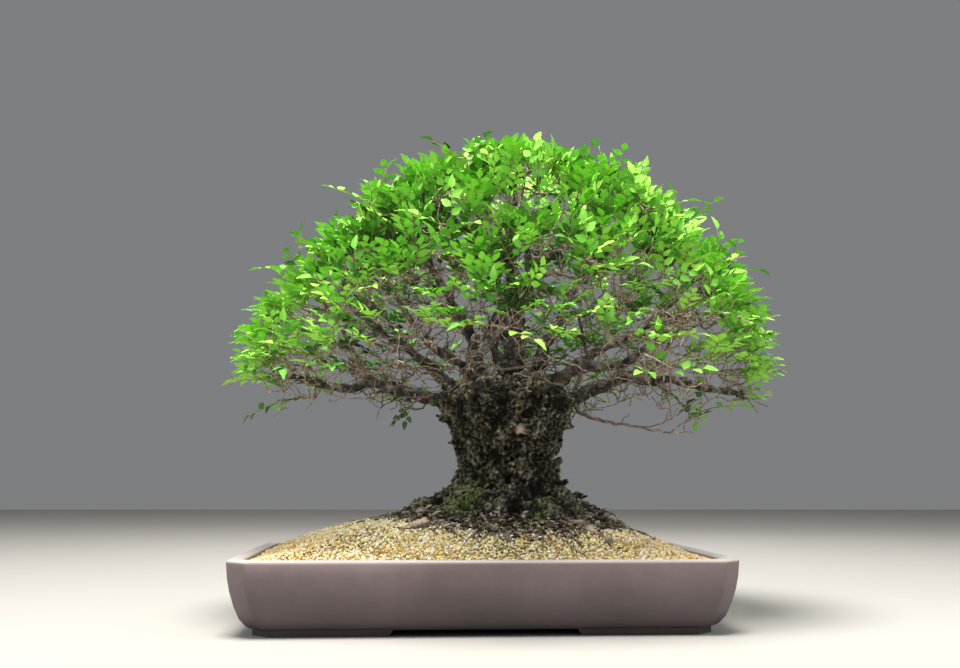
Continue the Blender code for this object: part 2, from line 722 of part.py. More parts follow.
def make_shoot(name, place, leaves, scale, rng, collection):
    bm = bmesh.new()
    shoot_blade(bm, leaves, scale, rng)
    bmesh.ops.triangulate(bm, faces=bm.faces)
    for vert in bm.verts:
        vert.co.z = arch(vert.co, scale)
    bmesh.ops.transform(bm, matrix=place, verts=bm.verts)
    obj = add_object(name, mesh_from(bm, name), collection)
    wall = obj.modifiers.new("thickness", "SOLIDIFY")
    wall.thickness = BLADE
    wall.offset = 0.0
    mesh = evaluated_mesh(obj)
    obj.modifiers.clear()
    obj.data = mesh


def shoot_reach(place, leaves, scale):
    """The points of a shoot that are tried against its neighbours."""
    spots = []
    long = (SHOOT_FOOT + (leaves - 1) * LEAF_PITCH + LEAF_LENGTH) * scale
    for share in REACH_ALONG:
        wide = LEAF_LENGTH * REACH_WIDTH * scale * (1.0 if share < REACH_NARROWS else REACH_TIP)
        for side in REACH_ACROSS:
            flat = Vector((long * share, wide * side, 0))
            flat.z = arch(flat, scale)
            spots.append(place @ flat)
    return spots


def try_shoot(attempt, turn, fork, outward, across, rng):
    """One way to lay a shoot: its place and its scale, smaller after every few tries."""
    up = Vector((0, 0, 1))
    spread = math.radians(SPREAD + SPREAD_STEP * (attempt % SPREAD_STEPS))
    roll = math.radians(turn + rng.uniform(-ROLL, ROLL))
    sideways = across * math.cos(roll) + across.cross(outward) * math.sin(roll)
    along = outward * math.cos(spread) + sideways * math.sin(spread) + up * SHOOT_RISE
    along.normalize()
    face = (up + outward * rng.uniform(*FACE_LEAN)).normalized()
    if abs(face.dot(along)) > EDGE_ON:
        face = outward.cross(across)
    return shoot_frame(fork + along * BARE_TWIG, along, face), 1.0 - SHRINK * (attempt // TRIES_A_SIZE)


def place_shoots(number, roots, segments, rng):
    """A spray's shoots, turned and shrunk until they clear the wood, each other and the other sprays."""
    root, middle, outward = roots[number]
    across = outward.cross(Vector((0, 0, 1)))
    across = across.normalized() if across.length > STEEP else Vector((1, 0, 0))
    others = [m for n, (_, m, _) in enumerate(roots) if n != number]
    near = [s for s in segments if min((s[0] - middle).length, (s[1] - middle).length) < NEAR]
    placed = []
    for order, (turn, leaves) in enumerate(zip(SHOOT_TURNS, LEAVES)):
        fork = root + outward * (FORK + FORK_STEP * order)
        best = None
        for attempt in range(TRIES):
            place, scale = try_shoot(attempt, turn, fork, outward, across, rng)
            spots = shoot_reach(place, leaves, scale)
            room = min(min((m - p).length - (middle - p).length for m in others) for p in spots)
            clear = min(distance_to_segment(p, a, b) - r for p in spots for a, b, r in near)
            worst = min(room / 2 - ROOM_TO_SPRAYS, clear - ROOM_TO_WOOD)
            for other in placed:
                apart = min((p - q).length for p in spots for q in other[2])
                worst = min(worst, apart - ROOM_TO_TWIN)
            if best is None or worst > best[0]:
                best = (worst, place, spots, scale, leaves)
            if worst > 0:
                break
        placed.append(best)
    return placed


def make_spray(number, roots, segments, product):
    rng = random.Random(SEEDS["spray"] + number)
    root, middle, outward = roots[number]
    name = f"spray_{number + 1:02d}"
    pieces = new_collection(name + "_pieces")
    tip = root + outward * (FORK + FORK_STEP * (len(LEAVES) - 1) + STEM_PAST)
    stem = tube(name, [root, tip], STEM_RADIUS, STEM_END, product, sides=4)
    stem.data.materials.append(material("leaf"))
    for order, (worst, place, _, scale, leaves) in enumerate(place_shoots(number, roots, segments, rng)):
        if worst < 0:
            print(name, "shoot", order, "lacks", round(-worst * 1000, 2), "mm of room")
        make_shoot(name + "_shoot", place, leaves, scale, rng, pieces)
    boolean(stem, "UNION", pieces)


def build():
    clear_scene()
    product = new_collection("chinese_elm_bonsai")
    limbs, branches, roots = plan_tree()
    make_pot(product)
    make_soil(product)
    make_drains(product)
    make_wood(product, limbs, branches)
    segments = wood_segments(limbs, branches)
    for number in range(len(roots)):
        make_spray(number, roots, segments, product)


build()
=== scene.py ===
# Looks of a Chinese elm bonsai in a cut-corner tray: stoneware, baked-clay soil, bark, twigs and leaves.
# Metres, +Z up, seen from -Y. The tree's growth repeats the rule and the values that made its solids.
import math
import random

import bmesh
import bpy
import numpy as np
from mathutils import Matrix, Vector, geometry, noise


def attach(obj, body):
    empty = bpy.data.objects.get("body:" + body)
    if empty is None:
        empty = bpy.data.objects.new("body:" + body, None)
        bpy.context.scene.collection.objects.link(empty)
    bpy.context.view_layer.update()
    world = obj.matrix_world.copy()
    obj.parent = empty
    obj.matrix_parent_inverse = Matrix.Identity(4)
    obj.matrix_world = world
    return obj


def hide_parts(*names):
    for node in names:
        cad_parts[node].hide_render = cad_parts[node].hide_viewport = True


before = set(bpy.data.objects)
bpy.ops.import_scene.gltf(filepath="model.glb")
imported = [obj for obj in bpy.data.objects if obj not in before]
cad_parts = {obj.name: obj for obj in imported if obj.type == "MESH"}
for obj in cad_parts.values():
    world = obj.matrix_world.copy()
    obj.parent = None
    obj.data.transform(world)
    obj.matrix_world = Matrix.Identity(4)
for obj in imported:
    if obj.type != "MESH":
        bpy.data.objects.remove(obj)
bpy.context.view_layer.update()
up = Vector((0, 0, 1))
# Blender draws noise_vector's offsets from the clock unless they are seeded.
noise.seed_set(5)
print("frame loaded:", len(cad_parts), "nodes")


# Materials: one way to write a colour, to add a node, and to make a material from rows of nodes

def linearColour(hexCode):
    channels = [int(hexCode[start:start + 2], 16) / 255 for start in (0, 2, 4)]
    return tuple(c / 12.92 if c <= 0.04045 else ((c + 0.055) / 1.055) ** 2.4 for c in channels) + (1.0,)


def addNode(tree, kind, settings, links):
    # A setting is the node's own, or a value for one of its sockets, by name or number.
    node = tree.nodes.new("ShaderNode" + kind)
    for key, value in settings.items():
        if key == "stops":
            ramp = node.color_ramp.elements
            while len(ramp) < len(value):
                ramp.new(1.0)
            for element, (place, colour) in zip(ramp, value):
                element.position = place
                element.color = linearColour(colour)
        elif isinstance(key, int) or key in node.inputs:
            node.inputs[key].default_value = linearColour(value) if isinstance(value, str) else value
        else:
            setattr(node, key, value)
    for key, source in links.items():
        tree.links.new(source, node.inputs[key])
    return node


def newMaterial(name, rows, settings):
    # A row is a node: a name for what it gives, its kind, the output that gives it, its settings, and its links
    # to earlier rows. A shader's setting is a value or a row's name. Mix has its colours in sockets 6 and 7.
    made = bpy.data.materials.new(name)
    made.use_nodes = True
    tree, gives = made.node_tree, {}
    for label, kind, output, options, links in rows:
        node = addNode(tree, kind, options, {key: gives[source] for key, source in links.items()})
        gives[label] = node.outputs[output]
    shader = tree.nodes["Principled BSDF"]
    for key, value in settings.items():
        if isinstance(value, str):
            tree.links.new(gives[value], shader.inputs[key])
        else:
            shader.inputs[key].default_value = value
    return made


placeRow = ("place", "TexCoord", "Object", {}, {})
toneRow = ("tone", "Attribute", "Fac", {"attribute_name": "tone"}, {})
blend = {"data_type": "RGBA"}
multiply = {"data_type": "RGBA", "blend_type": "MULTIPLY", 0: 1.0}


def stonewareMaterial():
    # Unglazed fired stoneware: satin and grey-brown, with a painted highlight on its rim and painted shade
    # darkening it towards its feet.
    return newMaterial("unglazed_stoneware", (
        placeRow,
        ("cloud", "TexNoise", "Fac", {"Scale": 9.0, "Detail": 5.0, "Roughness": 0.6}, {"Vector": "place"}),
        ("body", "ValToRGB", "Color", {"stops": ((0.30, "6d5d5f"), (0.52, "7a6a6c"), (0.75, "88787b"))},
         {"Fac": "cloud"}),
        ("grit", "TexNoise", "Fac", {"Scale": 900.0, "Detail": 2.0}, {"Vector": "place"}),  # grains near 1 mm
        ("specks", "ValToRGB", "Color", {"stops": ((0.60, "000000"), (0.70, "ffffff"))}, {"Fac": "grit"}),
        ("speckShare", "Math", 0, {"operation": "MULTIPLY", 1: 0.30}, {0: "specks"}),
        ("speckled", "Mix", 2, {**blend, 7: "4b403b"}, {0: "speckShare", 6: "body"}),
        ("height", "SeparateXYZ", "Z", {}, {0: "place"}),
        ("uneven", "Math", 0, {"operation": "MULTIPLY_ADD", 1: 0.012}, {0: "cloud", 2: "height"}),
        # Painted shade: the colour darkens, a little unevenly, from the rim down to the feet.
        ("footShade", "MapRange", "Result", {"From Min": 0.016, "From Max": 0.078, "To Min": 0.34},
         {"Value": "uneven"}),
        ("footShaded", "Mix", 2, multiply, {6: "speckled", 7: "footShade"}),
        ("marks", "TexNoise", "Fac", {"Scale": 52.0, "Detail": 2.0}, {"Vector": "place"}),  # near 8 mm
        ("smudge", "MapRange", "Result", {"From Min": 0.27, "From Max": 0.20, "To Max": 0.35},
         {"Value": "marks"}),
        ("smudged", "Mix", 2, {**blend, 7: "4a3d3a"}, {0: "smudge", 6: "footShaded"}),
        # Painted highlight: the top of the rim is paler.
        ("rimHighlight", "MapRange", "Result", {"From Min": 0.0695, "From Max": 0.0724, "To Max": 0.75},
         {"Value": "height"}),
        ("rimHighlighted", "Mix", 2, {**blend, 7: "c2bcb8"}, {0: "rimHighlight", 6: "smudged"}),
        ("wear", "MapRange", "Result", {"From Min": 0.3, "From Max": 0.7, "To Min": 0.40, "To Max": 0.58},
         {"Value": "cloud"}),
        ("bump", "Bump", "Normal", {"Strength": 0.25, "Distance": 0.0002}, {"Height": "grit"}),
    ), {"IOR": 1.5, "Base Color": "rimHighlighted", "Roughness": "wear", "Normal": "bump"})


def clayMaterial():
    # Baked clay soil, crushed and sieved: matt, porous grains from ochre and tan to grey and near white,
    # redder at the tray's ends.
    stops = ((0.0, "978250"), (0.10, "d2bf78"), (0.32, "f0e4a4"), (0.52, "fbf2c8"), (0.66, "eabc80"),
             (0.75, "c9c3b6"), (0.88, "fff7e4"), (1.0, "fffdf6"))
    return newMaterial("baked_clay_grains", (
        placeRow, toneRow,
        ("colour", "ValToRGB", "Color", {"stops": stops}, {"Fac": "tone"}),
        ("pores", "TexNoise", "Fac", {"Scale": 1400.0, "Detail": 3.0}, {"Vector": "place"}),  # near 0.7 mm
        # Painted shade in the pores: darker where the pore noise, and so the bump, is low.
        ("poreShade", "MapRange", "Result", {"From Min": 0.3, "From Max": 0.7, "To Min": 0.80}, {"Value": "pores"}),
        ("poreShaded", "Mix", 2, multiply, {6: "colour", 7: "poreShade"}),
        ("along", "SeparateXYZ", "X", {}, {0: "place"}),
        ("fromMiddle", "Math", 0, {"operation": "SUBTRACT", 1: -0.034}, {0: "along"}),
        ("away", "Math", 0, {"operation": "ABSOLUTE"}, {0: "fromMiddle"}),
        ("ends", "MapRange", "Result", {"From Min": 0.11, "From Max": 0.22, "To Max": 0.32}, {"Value": "away"}),
        ("reddened", "Mix", 2, {**blend, 7: "cf9450"}, {0: "ends", 6: "poreShaded"}),
        ("bump", "Bump", "Normal", {"Strength": 0.5, "Distance": 0.0003}, {"Height": "pores"}),
    ), {"IOR": 1.45, "Roughness": 0.95, "Specular IOR Level": 0.3, "Base Color": "reddened", "Normal": "bump"})


def soilBedMaterial():
    # The packed soil seen between the loose grains: the same clay in painted shade, darker still towards its own
    # grains' edges.
    return newMaterial("packed_clay_bed", (
        placeRow,
        ("grains", "TexVoronoi", "Distance", {"Scale": 300.0}, {"Vector": "place"}),  # grains of 3 to 4 mm
        ("colour", "ValToRGB", "Color", {"stops": ((0.0, "c9b075"), (0.5, "a38b57"), (1.0, "6b5936"))},
         {"Fac": "grains"}),
        ("bump", "Bump", "Normal", {"Strength": 0.9, "Distance": 0.0015, "invert": True}, {"Height": "grains"}),
    ), {"IOR": 1.4, "Roughness": 0.95, "Specular IOR Level": 0.2, "Base Color": "colour", "Normal": "bump"})


def trunkBarkMaterial():
    # Old elm bark: knobbly, corky, mossy on ledges; furrows near black and ridges grey-olive, partly painted shade
    # and highlight.
    return newMaterial("old_elm_bark", (
        placeRow,
        ("ridge", "Attribute", "Fac", {"attribute_name": "ridge"}, {}),
        ("moss", "Attribute", "Fac", {"attribute_name": "moss"}, {}),
        ("scar", "Attribute", "Fac", {"attribute_name": "scar"}, {}),
        ("fibres", "TexNoise", "Fac", {"Scale": 520.0, "Detail": 5.0, "Roughness": 0.7}, {"Vector": "place"}),
        ("patches", "TexNoise", "Fac", {"Scale": 60.0, "Detail": 4.0}, {"Vector": "place"}),  # near 17 mm
        # Painted highlight and shade: paler where fibres, ridges and knobs stand out, darker in furrows, over the
        # bark's own colours.
        ("rough", "Math", 0, {"operation": "MULTIPLY_ADD", 1: 0.70, 2: -0.35}, {0: "fibres"}),
        ("level", "Math", 0, {"operation": "ADD"}, {0: "rough", 1: "ridge"}),
        ("corkAndPaintedLight", "ValToRGB", "Color", {"stops": ((0.22, "080706"), (0.42, "2b2822"), (0.60, "545044"),
                                                 (0.80, "827c6c"), (1.0, "b5ae9e"))}, {"Fac": "level"}),
        ("warm", "ValToRGB", "Color", {"stops": ((0.52, "000000"), (0.68, "ffffff"))}, {"Fac": "patches"}),
        ("warmShare", "Math", 0, {"operation": "MULTIPLY", 1: 0.30}, {0: "warm"}),
        ("warmed", "Mix", 2, {**blend, 7: "3d2b20"}, {0: "warmShare", 6: "corkAndPaintedLight"}),
        ("algae", "MapRange", "Result", {"From Min": 0.50, "From Max": 0.34, "To Max": 0.30},
         {"Value": "patches"}),
        ("olive", "Mix", 2, {**blend, 7: "33361a"}, {0: "algae", 6: "warmed"}),
        ("tufts", "TexNoise", "Fac", {"Scale": 700.0, "Detail": 3.0}, {"Vector": "place"}),  # near 1.4 mm
        ("mossColour", "ValToRGB", "Color", {"stops": ((0.3, "2f3f14"), (0.55, "66892a"), (0.8, "a4c850"))},
         {"Fac": "tufts"}),
        ("mossy", "Mix", 2, blend, {0: "moss", 6: "olive", 7: "mossColour"}),
        ("healed", "Mix", 2, {**blend, 7: "cdb9a2"}, {0: "scar", 6: "mossy"}),
        ("bump", "Bump", "Normal", {"Strength": 0.9, "Distance": 0.0014}, {"Height": "fibres"}),
    ), {"IOR": 1.45, "Roughness": 0.9, "Specular IOR Level": 0.25, "Base Color": "healed", "Normal": "bump"})


def litterMaterial():
    # Dropped bark flakes: dark brown and dry, some bleached grey.
    stops = ((0.0, "28221b"), (0.40, "51473b"), (0.72, "82776a"), (1.0, "b8ae9f"))
    rows = (toneRow, ("colour", "ValToRGB", "Color", {"stops": stops}, {"Fac": "tone"}))
    return newMaterial("bark_flakes", rows, {"IOR": 1.45, "Roughness": 0.95, "Specular IOR Level": 0.2,
                                             "Base Color": "colour"})


def twigBarkMaterial(name, stops, scale):
    # Younger elm bark: grey-brown with pale flakes, smoother outwards, and darkened towards the trunk by painted
    # shade inside the crown.
    return newMaterial(name, (
        placeRow,
        ("flakes", "TexNoise", "Fac", {"Scale": scale, "Detail": 6.0, "Roughness": 0.75}, {"Vector": "place"}),
        ("colour", "ValToRGB", "Color", {"stops": stops}, {"Fac": "flakes"}),
        # Painted shade: the bark darkens towards the trunk, deep in the crown.
        ("fromTrunk", "VectorMath", "Value", {"operation": "DISTANCE", 1: (0.0, 0.0, 0.22)}, {0: "place"}),
        ("shadedTone", "MapRange", "Result", {"From Min": 0.07, "From Max": 0.23, "To Min": 0.24},
         {"Value": "fromTrunk"}),
        ("shadedNearTrunk", "Mix", 2, multiply, {6: "colour", 7: "shadedTone"}),
        ("bump", "Bump", "Normal", {"Strength": 0.8, "Distance": 0.0008}, {"Height": "flakes"}),
    ), {"IOR": 1.45, "Roughness": 0.72, "Specular IOR Level": 0.4, "Base Color": "shadedNearTrunk", "Normal": "bump"})


def leafMaterial():
    # Young elm leaf: thin, satin and bright yellow-green, paler along its veins, deeper when older; its darkest
    # tones are painted shade.
    stops = ((0.0, "1a3a10"), (0.16, "347020"), (0.38, "80d04a"), (0.66, "a0e450"), (1.0, "a4e05c"))
    return newMaterial("elm_leaf", (
        toneRow,
        ("colour", "ValToRGB", "Color", {"stops": stops}, {"Fac": "tone"}),
        ("spot", "UVMap", "UV", {"uv_map": "leaf"}, {}),
        ("along", "SeparateXYZ", "X", {}, {0: "spot"}),
        ("signed", "SeparateXYZ", "Y", {}, {0: "spot"}),
        ("across", "Math", 0, {"operation": "ABSOLUTE"}, {0: "signed"}),
        ("slant", "Math", 0, {"operation": "MULTIPLY_ADD", 1: -0.35}, {0: "across", 2: "along"}),
        ("wave", "Math", 0, {"operation": "MULTIPLY", 1: 62.0}, {0: "slant"}),  # ten side veins
        ("vein", "Math", 0, {"operation": "SINE"}, {0: "wave"}),
        ("rib", "MapRange", "Result", {"From Max": 0.14, "To Min": 1.0, "To Max": 0.0}, {"Value": "across"}),
        ("side", "MapRange", "Result", {"From Min": 0.7, "To Max": 0.35}, {"Value": "vein"}),
        ("pale", "Math", 0, {"operation": "MAXIMUM"}, {0: "rib", 1: "side"}),
        ("share", "Math", 0, {"operation": "MULTIPLY", 1: 0.35}, {0: "pale"}),
        ("veined", "Mix", 2, {**blend, 7: "c4e887"}, {0: "share", 6: "colour"}),
        ("bump", "Bump", "Normal", {"Strength": 0.35, "Distance": 0.0003}, {"Height": "vein"}),
    ), {"IOR": 1.42, "Roughness": 0.58, "Specular IOR Level": 0.28, "Base Color": "veined", "Normal": "bump"})


def drainMaterial(name, scale, stops, roughness, settings):
    # A fine grain that moves the colour and the sheen a little.
    return newMaterial(name, (
        placeRow,
        ("grain", "TexNoise", "Fac", {"Scale": scale, "Detail": 2.0}, {"Vector": "place"}),
        ("colour", "ValToRGB", "Color", {"stops": stops}, {"Fac": "grain"}),
        ("sheen", "MapRange", "Result", {"To Min": roughness[0], "To Max": roughness[1]}, {"Value": "grain"}),
    ), {**settings, "Base Color": "colour", "Roughness": "sheen"})


# Pieces

def dressPiece(name, mesh, material, slot, *nodes):
    mesh.materials.clear()
    mesh.materials.append(material)
    piece = bpy.data.objects.new(name, mesh)
    bpy.context.scene.collection.objects.link(piece)
    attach(piece, "root")
    if nodes:
        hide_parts(*nodes)
    return piece


def meshOf(bm, name):
    mesh = bpy.data.meshes.new(name)
    bm.to_mesh(mesh)
    bm.free()
    return mesh


def evaluatedMesh(piece):
    bpy.context.view_layer.update()
    graph = bpy.context.evaluated_depsgraph_get()
    return bpy.data.meshes.new_from_object(piece.evaluated_get(graph))


def pointsOf(shapes):
    return [np.array([vert.co[:] for vert in shape.vertices]) for shape in shapes]


def meshOfCopies(name, shapes, copies):
    # One mesh of many copies. Each shape has a list of its copies' points and a list of their tones.
    points, corners, sizes, tones, maps = [], [], [], [], []
    first = 0
    for shape, (spots, tone) in zip(shapes, copies):
        if not spots:
            continue
        number, count = len(spots), len(shape.vertices)
        order = np.empty(len(shape.loops), np.int32)
        shape.loops.foreach_get("vertex_index", order)
        size = np.array([len(face.vertices) for face in shape.polygons], np.int32)
        corners.append((order[None] + (first + count * np.arange(number))[:, None]).ravel())
        sizes.append(np.tile(size, number))
        points.append(np.array(spots).reshape(-1, 3))
        tones.append(np.repeat(tone, count))
        if shape.uv_layers:
            uv = np.empty(2 * len(shape.loops), np.float32)
            shape.uv_layers[0].data.foreach_get("uv", uv)
            maps.append(np.tile(uv, number))
        first += number * count
    sizes = np.concatenate(sizes)
    mesh = bpy.data.meshes.new(name)
    mesh.vertices.add(first)
    mesh.vertices.foreach_set("co", np.concatenate(points).astype(np.float32).ravel())
    mesh.loops.add(int(sizes.sum()))
    mesh.loops.foreach_set("vertex_index", np.concatenate(corners).astype(np.int32))
    mesh.polygons.add(len(sizes))
    mesh.polygons.foreach_set("loop_start", np.concatenate(([0], np.cumsum(sizes)[:-1])).astype(np.int32))
    mesh.update(calc_edges=True)
    if maps:
        mesh.uv_layers.new(name="leaf").data.foreach_set("uv", np.concatenate(maps))
    shades = mesh.attributes.new("tone", "FLOAT", "POINT")
    shades.data.foreach_set("value", np.concatenate(tones).astype(np.float32))
    return mesh


def tubesMesh(name, strands, sides):
    # Tapered tubes with closed ends along many routes. A strand is its points and its radii.
    curve = bpy.data.curves.new(name, "CURVE")
    curve.dimensions = "3D"
    curve.bevel_depth = 1.0
    curve.bevel_resolution = (sides - 4) // 2
    curve.use_fill_caps = True
    for spots, radii in strands:
        spline = curve.splines.new("POLY")
        spline.points.add(len(spots) - 1)
        spline.points.foreach_set("co", [value for spot in spots for value in (*spot, 1.0)])
        spline.points.foreach_set("radius", list(radii))
    guide = bpy.data.objects.new(name + "_guide", curve)
    bpy.context.scene.collection.objects.link(guide)
    mesh = evaluatedMesh(guide)
    bpy.data.objects.remove(guide, do_unlink=True)
    bpy.data.curves.remove(curve)
    bm = bmesh.new()
    bm.from_mesh(mesh)
    bmesh.ops.remove_doubles(bm, verts=bm.verts, dist=1e-6)
    bm.to_mesh(mesh)
    bm.free()
    mesh.shade_smooth()
    return mesh


# Camera and light. The camera stands where the photograph was taken from.

view = {"place": (-0.109, -1.205, 0.148), "yaw": 3.72, "pitch": 7.9, "roll": 0.1, "lens": 39.85,
        "sensor": 36.0}
lamps = {  # where each soft lamp hangs, what it faces, its size in metres, its power and its tint
    "overhead": ((-0.25, -0.60, 2.40), (0.0, 0.0, 0.30), 1.2, 132.0, "fffaf2"),
    "left": ((-1.7, -1.0, 1.1), (0.0, 0.0, 0.25), 1.1, 17.0, "f4f8ff"),
    "right": ((1.6, -0.7, 1.0), (0.0, 0.0, 0.25), 1.1, 12.5, "ffffff"),
    "back": ((0.3, 1.5, 1.3), (0.0, 0.0, 0.30), 1.2, 8.0, "ffffff"),
}
room = {"sky": "eef1f4", "skyStrength": 0.24, "floor": ((0.0, "aaa8a4"), (1.0, "aeaca8")), "floorSize": 9.0}


def setCamera():
    data = bpy.data.cameras.new("camera")
    data.lens = view["lens"]
    data.sensor_width = view["sensor"]
    yaw, pitch = math.radians(view["yaw"]), math.radians(view["pitch"])
    ahead = Vector((math.sin(yaw) * math.cos(pitch), math.cos(yaw) * math.cos(pitch), math.sin(pitch)))
    roll = Matrix.Rotation(math.radians(view["roll"]), 3, "Z")
    turn = (ahead.to_track_quat("-Z", "Y").to_matrix() @ roll).to_quaternion()
    camera = bpy.data.objects.new("camera", data)
    camera.matrix_world = Matrix.LocRotScale(Vector(view["place"]), turn, None)
    bpy.context.scene.collection.objects.link(camera)
    bpy.context.scene.camera = camera


def setLight():
    scene = bpy.context.scene
    for name, (place, target, size, power, tint) in lamps.items():
        data = bpy.data.lights.new(name, "AREA")
        data.shape = "DISK"
        data.size = size
        data.energy = power
        data.color = linearColour(tint)[:3]
        lamp = bpy.data.objects.new(name, data)
        turn = (Vector(target) - Vector(place)).to_track_quat("-Z", "Y")
        lamp.matrix_world = Matrix.LocRotScale(Vector(place), turn, None)
        scene.collection.objects.link(lamp)
    world = bpy.data.worlds.new("studio")
    world.use_nodes = True
    background = world.node_tree.nodes["Background"]
    background.inputs["Color"].default_value = linearColour(room["sky"])
    background.inputs["Strength"].default_value = room["skyStrength"]
    scene.world = world
    scene.view_settings.view_transform = "Standard"


def makeFloor():
    bm = bmesh.new()
    bmesh.ops.create_grid(bm, x_segments=1, y_segments=1, size=room["floorSize"] / 2)
    mesh = meshOf(bm, "floor")
    mesh.materials.append(newMaterial("pale_floor", (
        placeRow,
        ("cloud", "TexNoise", "Fac", {"Scale": 3.0, "Detail": 2.0}, {"Vector": "place"}),
        ("colour", "ValToRGB", "Color", {"stops": room["floor"]}, {"Fac": "cloud"}),
    ), {"Roughness": 0.9, "Base Color": "colour"}))
    floor = bpy.data.objects.new("floor", mesh)
    bpy.context.scene.collection.objects.link(floor)


setCamera()
setLight()
makeFloor()
print("camera, light and floor set")


# Tray: the solid's own shape with its corners eased, as a pressed and trimmed slab would be

tray = {"merge": 1e-5, "flat": 0.4, "cornerEase": 0.0022, "cornerSteps": 3, "cornerOver": 25.0, "upright": 0.6,
        "overFeet": 0.006, "edgeEase": 0.0007, "edgeSteps": 2, "edgeOver": 40.0, "smoothUnder": 38.0,
        "middleX": -0.034, "length": 0.500, "depth": 0.350, "corner": 0.0185, "cornerKeep": 0.55,
        "wallInTop": 0.0125, "wallInFloor": 0.0250}


def easeEdges(bm, over, width, segments, wanted):
    # Round the edges that turn by more than the given angle.
    edges = [edge for edge in bm.edges if len(edge.link_faces) == 2
             and edge.calc_face_angle() > math.radians(over) and wanted(edge)]
    bmesh.ops.bevel(bm, geom=edges, offset=width, offset_type="OFFSET", affect="EDGES", segments=segments,
                    profile=0.5, material=-1, clamp_overlap=True)


def standing(edge):
    low, high = sorted(vert.co.z for vert in edge.verts)
    return high - low > tray["upright"] * edge.calc_length() and low > tray["overFeet"]


def makeTray(material):
    bm = bmesh.new()
    bm.from_mesh(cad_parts["pot"].data)
    bmesh.ops.remove_doubles(bm, verts=bm.verts, dist=tray["merge"])
    bmesh.ops.dissolve_limit(bm, angle_limit=math.radians(tray["flat"]), verts=bm.verts, edges=bm.edges)
    easeEdges(bm, tray["cornerOver"], tray["cornerEase"], tray["cornerSteps"], standing)
    easeEdges(bm, tray["edgeOver"], tray["edgeEase"], tray["edgeSteps"], lambda edge: True)
    mesh = meshOf(bm, "tray")
    mesh.shade_smooth()
    mesh.set_sharp_from_angle(angle=math.radians(tray["smoothUnder"]))
    dressPiece("tray", mesh, material, "pot", "pot")


makeTray(stonewareMaterial())
print("tray made")


# Growth: the trunk's rings, the roots, the limbs and the branches, as the solids have them

trunk = {"rings": ((0.052, 0.100), (0.096, 0.112), (0.110, 0.100), (0.124, 0.084), (0.138, 0.067),
                   (0.156, 0.052), (0.176, 0.053), (0.196, 0.060), (0.216, 0.070), (0.238, 0.076),
                   (0.256, 0.064), (0.268, 0.036)),
         "sides": 48, "depth": 0.90, "fluteDepth": 0.10, "fluteRate": 4.5, "fluteTurn": 0.6,
         "fluteTop": 0.150, "fluteHeight": 0.060, "lumps": ((0.045, 3, 1.7), (0.030, 5, -2.3))}
mound = {"edgeZ": 0.0665, "topZ": 0.1110, "power": 2.8}
# Each root is its angle in degrees, its radius at the trunk and its reach in millimetres.
roots = {"lines": ((184, 19, 150), (222, 15, 128), (262, 12, 112), (300, 14, 122), (338, 17, 150),
                   (12, 18, 168), (55, 13, 125), (98, 14, 118), (140, 15, 130)),
         "route": ((0.34, 0.020), (0.55, 0.010), (0.74, 0.001), (0.88, -0.006), (1.0, -0.016)),
         "taper": 3.6, "depth": 0.86, "swing": 0.010, "swingRate": 1.3, "wave": 5, "pitch": 0.006}
# Each knob is its angle in degrees, its height and its radius in millimetres.
knobs = {"places": ((198, 192, 15), (345, 156, 14), (262, 160, 13), (292, 208, 19), (248, 196, 16),
                    (318, 186, 15), (225, 226, 18), (20, 196, 17), (75, 182, 18), (155, 165, 15),
                    (270, 132, 19)),
         "sink": 0.45, "turn": 0.9, "axis": (1, 2, 3), "shape": (1.0, 0.85, 1.15, 1)}
crown = {"x": -0.002, "z": 0.250, "halfWidth": 0.328, "halfDepth": 0.262, "height": 0.316,
         "shoulder": (1.8, 0.5), "fullness": (2.0, 0.2), "tuck": 0.5, "droop": -0.02, "waist": 0.03}
sprays = {"count": 35, "lowest": -0.07, "highest": 0.985, "depth": 0.030, "depthMore": 0.010,
          "firstTurn": 0.4, "turn": math.pi * (3 - math.sqrt(5)), "stem": 0.0300, "fork": 0.0160,
          "forkStep": 0.0032, "twig": 0.0130, "shootTurns": (90, 200, 340)}
limbs = {  # a base radius, an end radius and the route's points, in millimetres
    "left_low": (15, 5, ((-35, -5, 215), (-88, -18, 240), (-145, -26, 252), (-200, -22, 254), (-252, -30, 262))),
    "left_high": (14, 4, ((-35, 15, 235), (-90, 40, 285), (-150, 55, 330), (-200, 62, 372))),
    "left_back": (13, 4, ((-25, 30, 225), (-85, 85, 250), (-140, 130, 268), (-185, 150, 290))),
    "front_left": (14, 4, ((-15, -30, 230), (-50, -85, 262), (-95, -135, 290), (-125, -170, 330))),
    "front_right": (15, 4, ((10, -35, 235), (55, -80, 262), (105, -115, 268), (150, -160, 300))),
    "right_low": (16, 5, ((40, -8, 222), (98, -22, 250), (156, -35, 263), (215, -32, 254), (266, -40, 242))),
    "right_high": (14, 4, ((40, 12, 238), (95, 30, 290), (160, 45, 325), (215, 50, 370))),
    "right_back": (13, 4, ((30, 32, 228), (90, 80, 255), (145, 112, 270), (176, 122, 284))),
    "back": (13, 4, ((0, 40, 235), (10, 100, 285), (-10, 155, 335), (5, 180, 375))),
    "leader_left": (15, 4, ((-18, 0, 245), (-45, 10, 320), (-85, -5, 390), (-105, 5, 450))),
    "leader_middle": (17, 4, ((2, 5, 248), (15, 12, 330), (2, 0, 410), (12, 8, 490))),
    "leader_right": (15, 4, ((20, 0, 245), (55, -8, 320), (90, 10, 390), (130, 0, 450))),
    "leader_front": (13, 4, ((5, -22, 240), (-5, -62, 315), (15, -95, 380), (0, -120, 430))),
    "leader_back": (13, 4, ((5, 25, 245), (-10, 65, 320), (12, 95, 390), (0, 115, 445))),
}
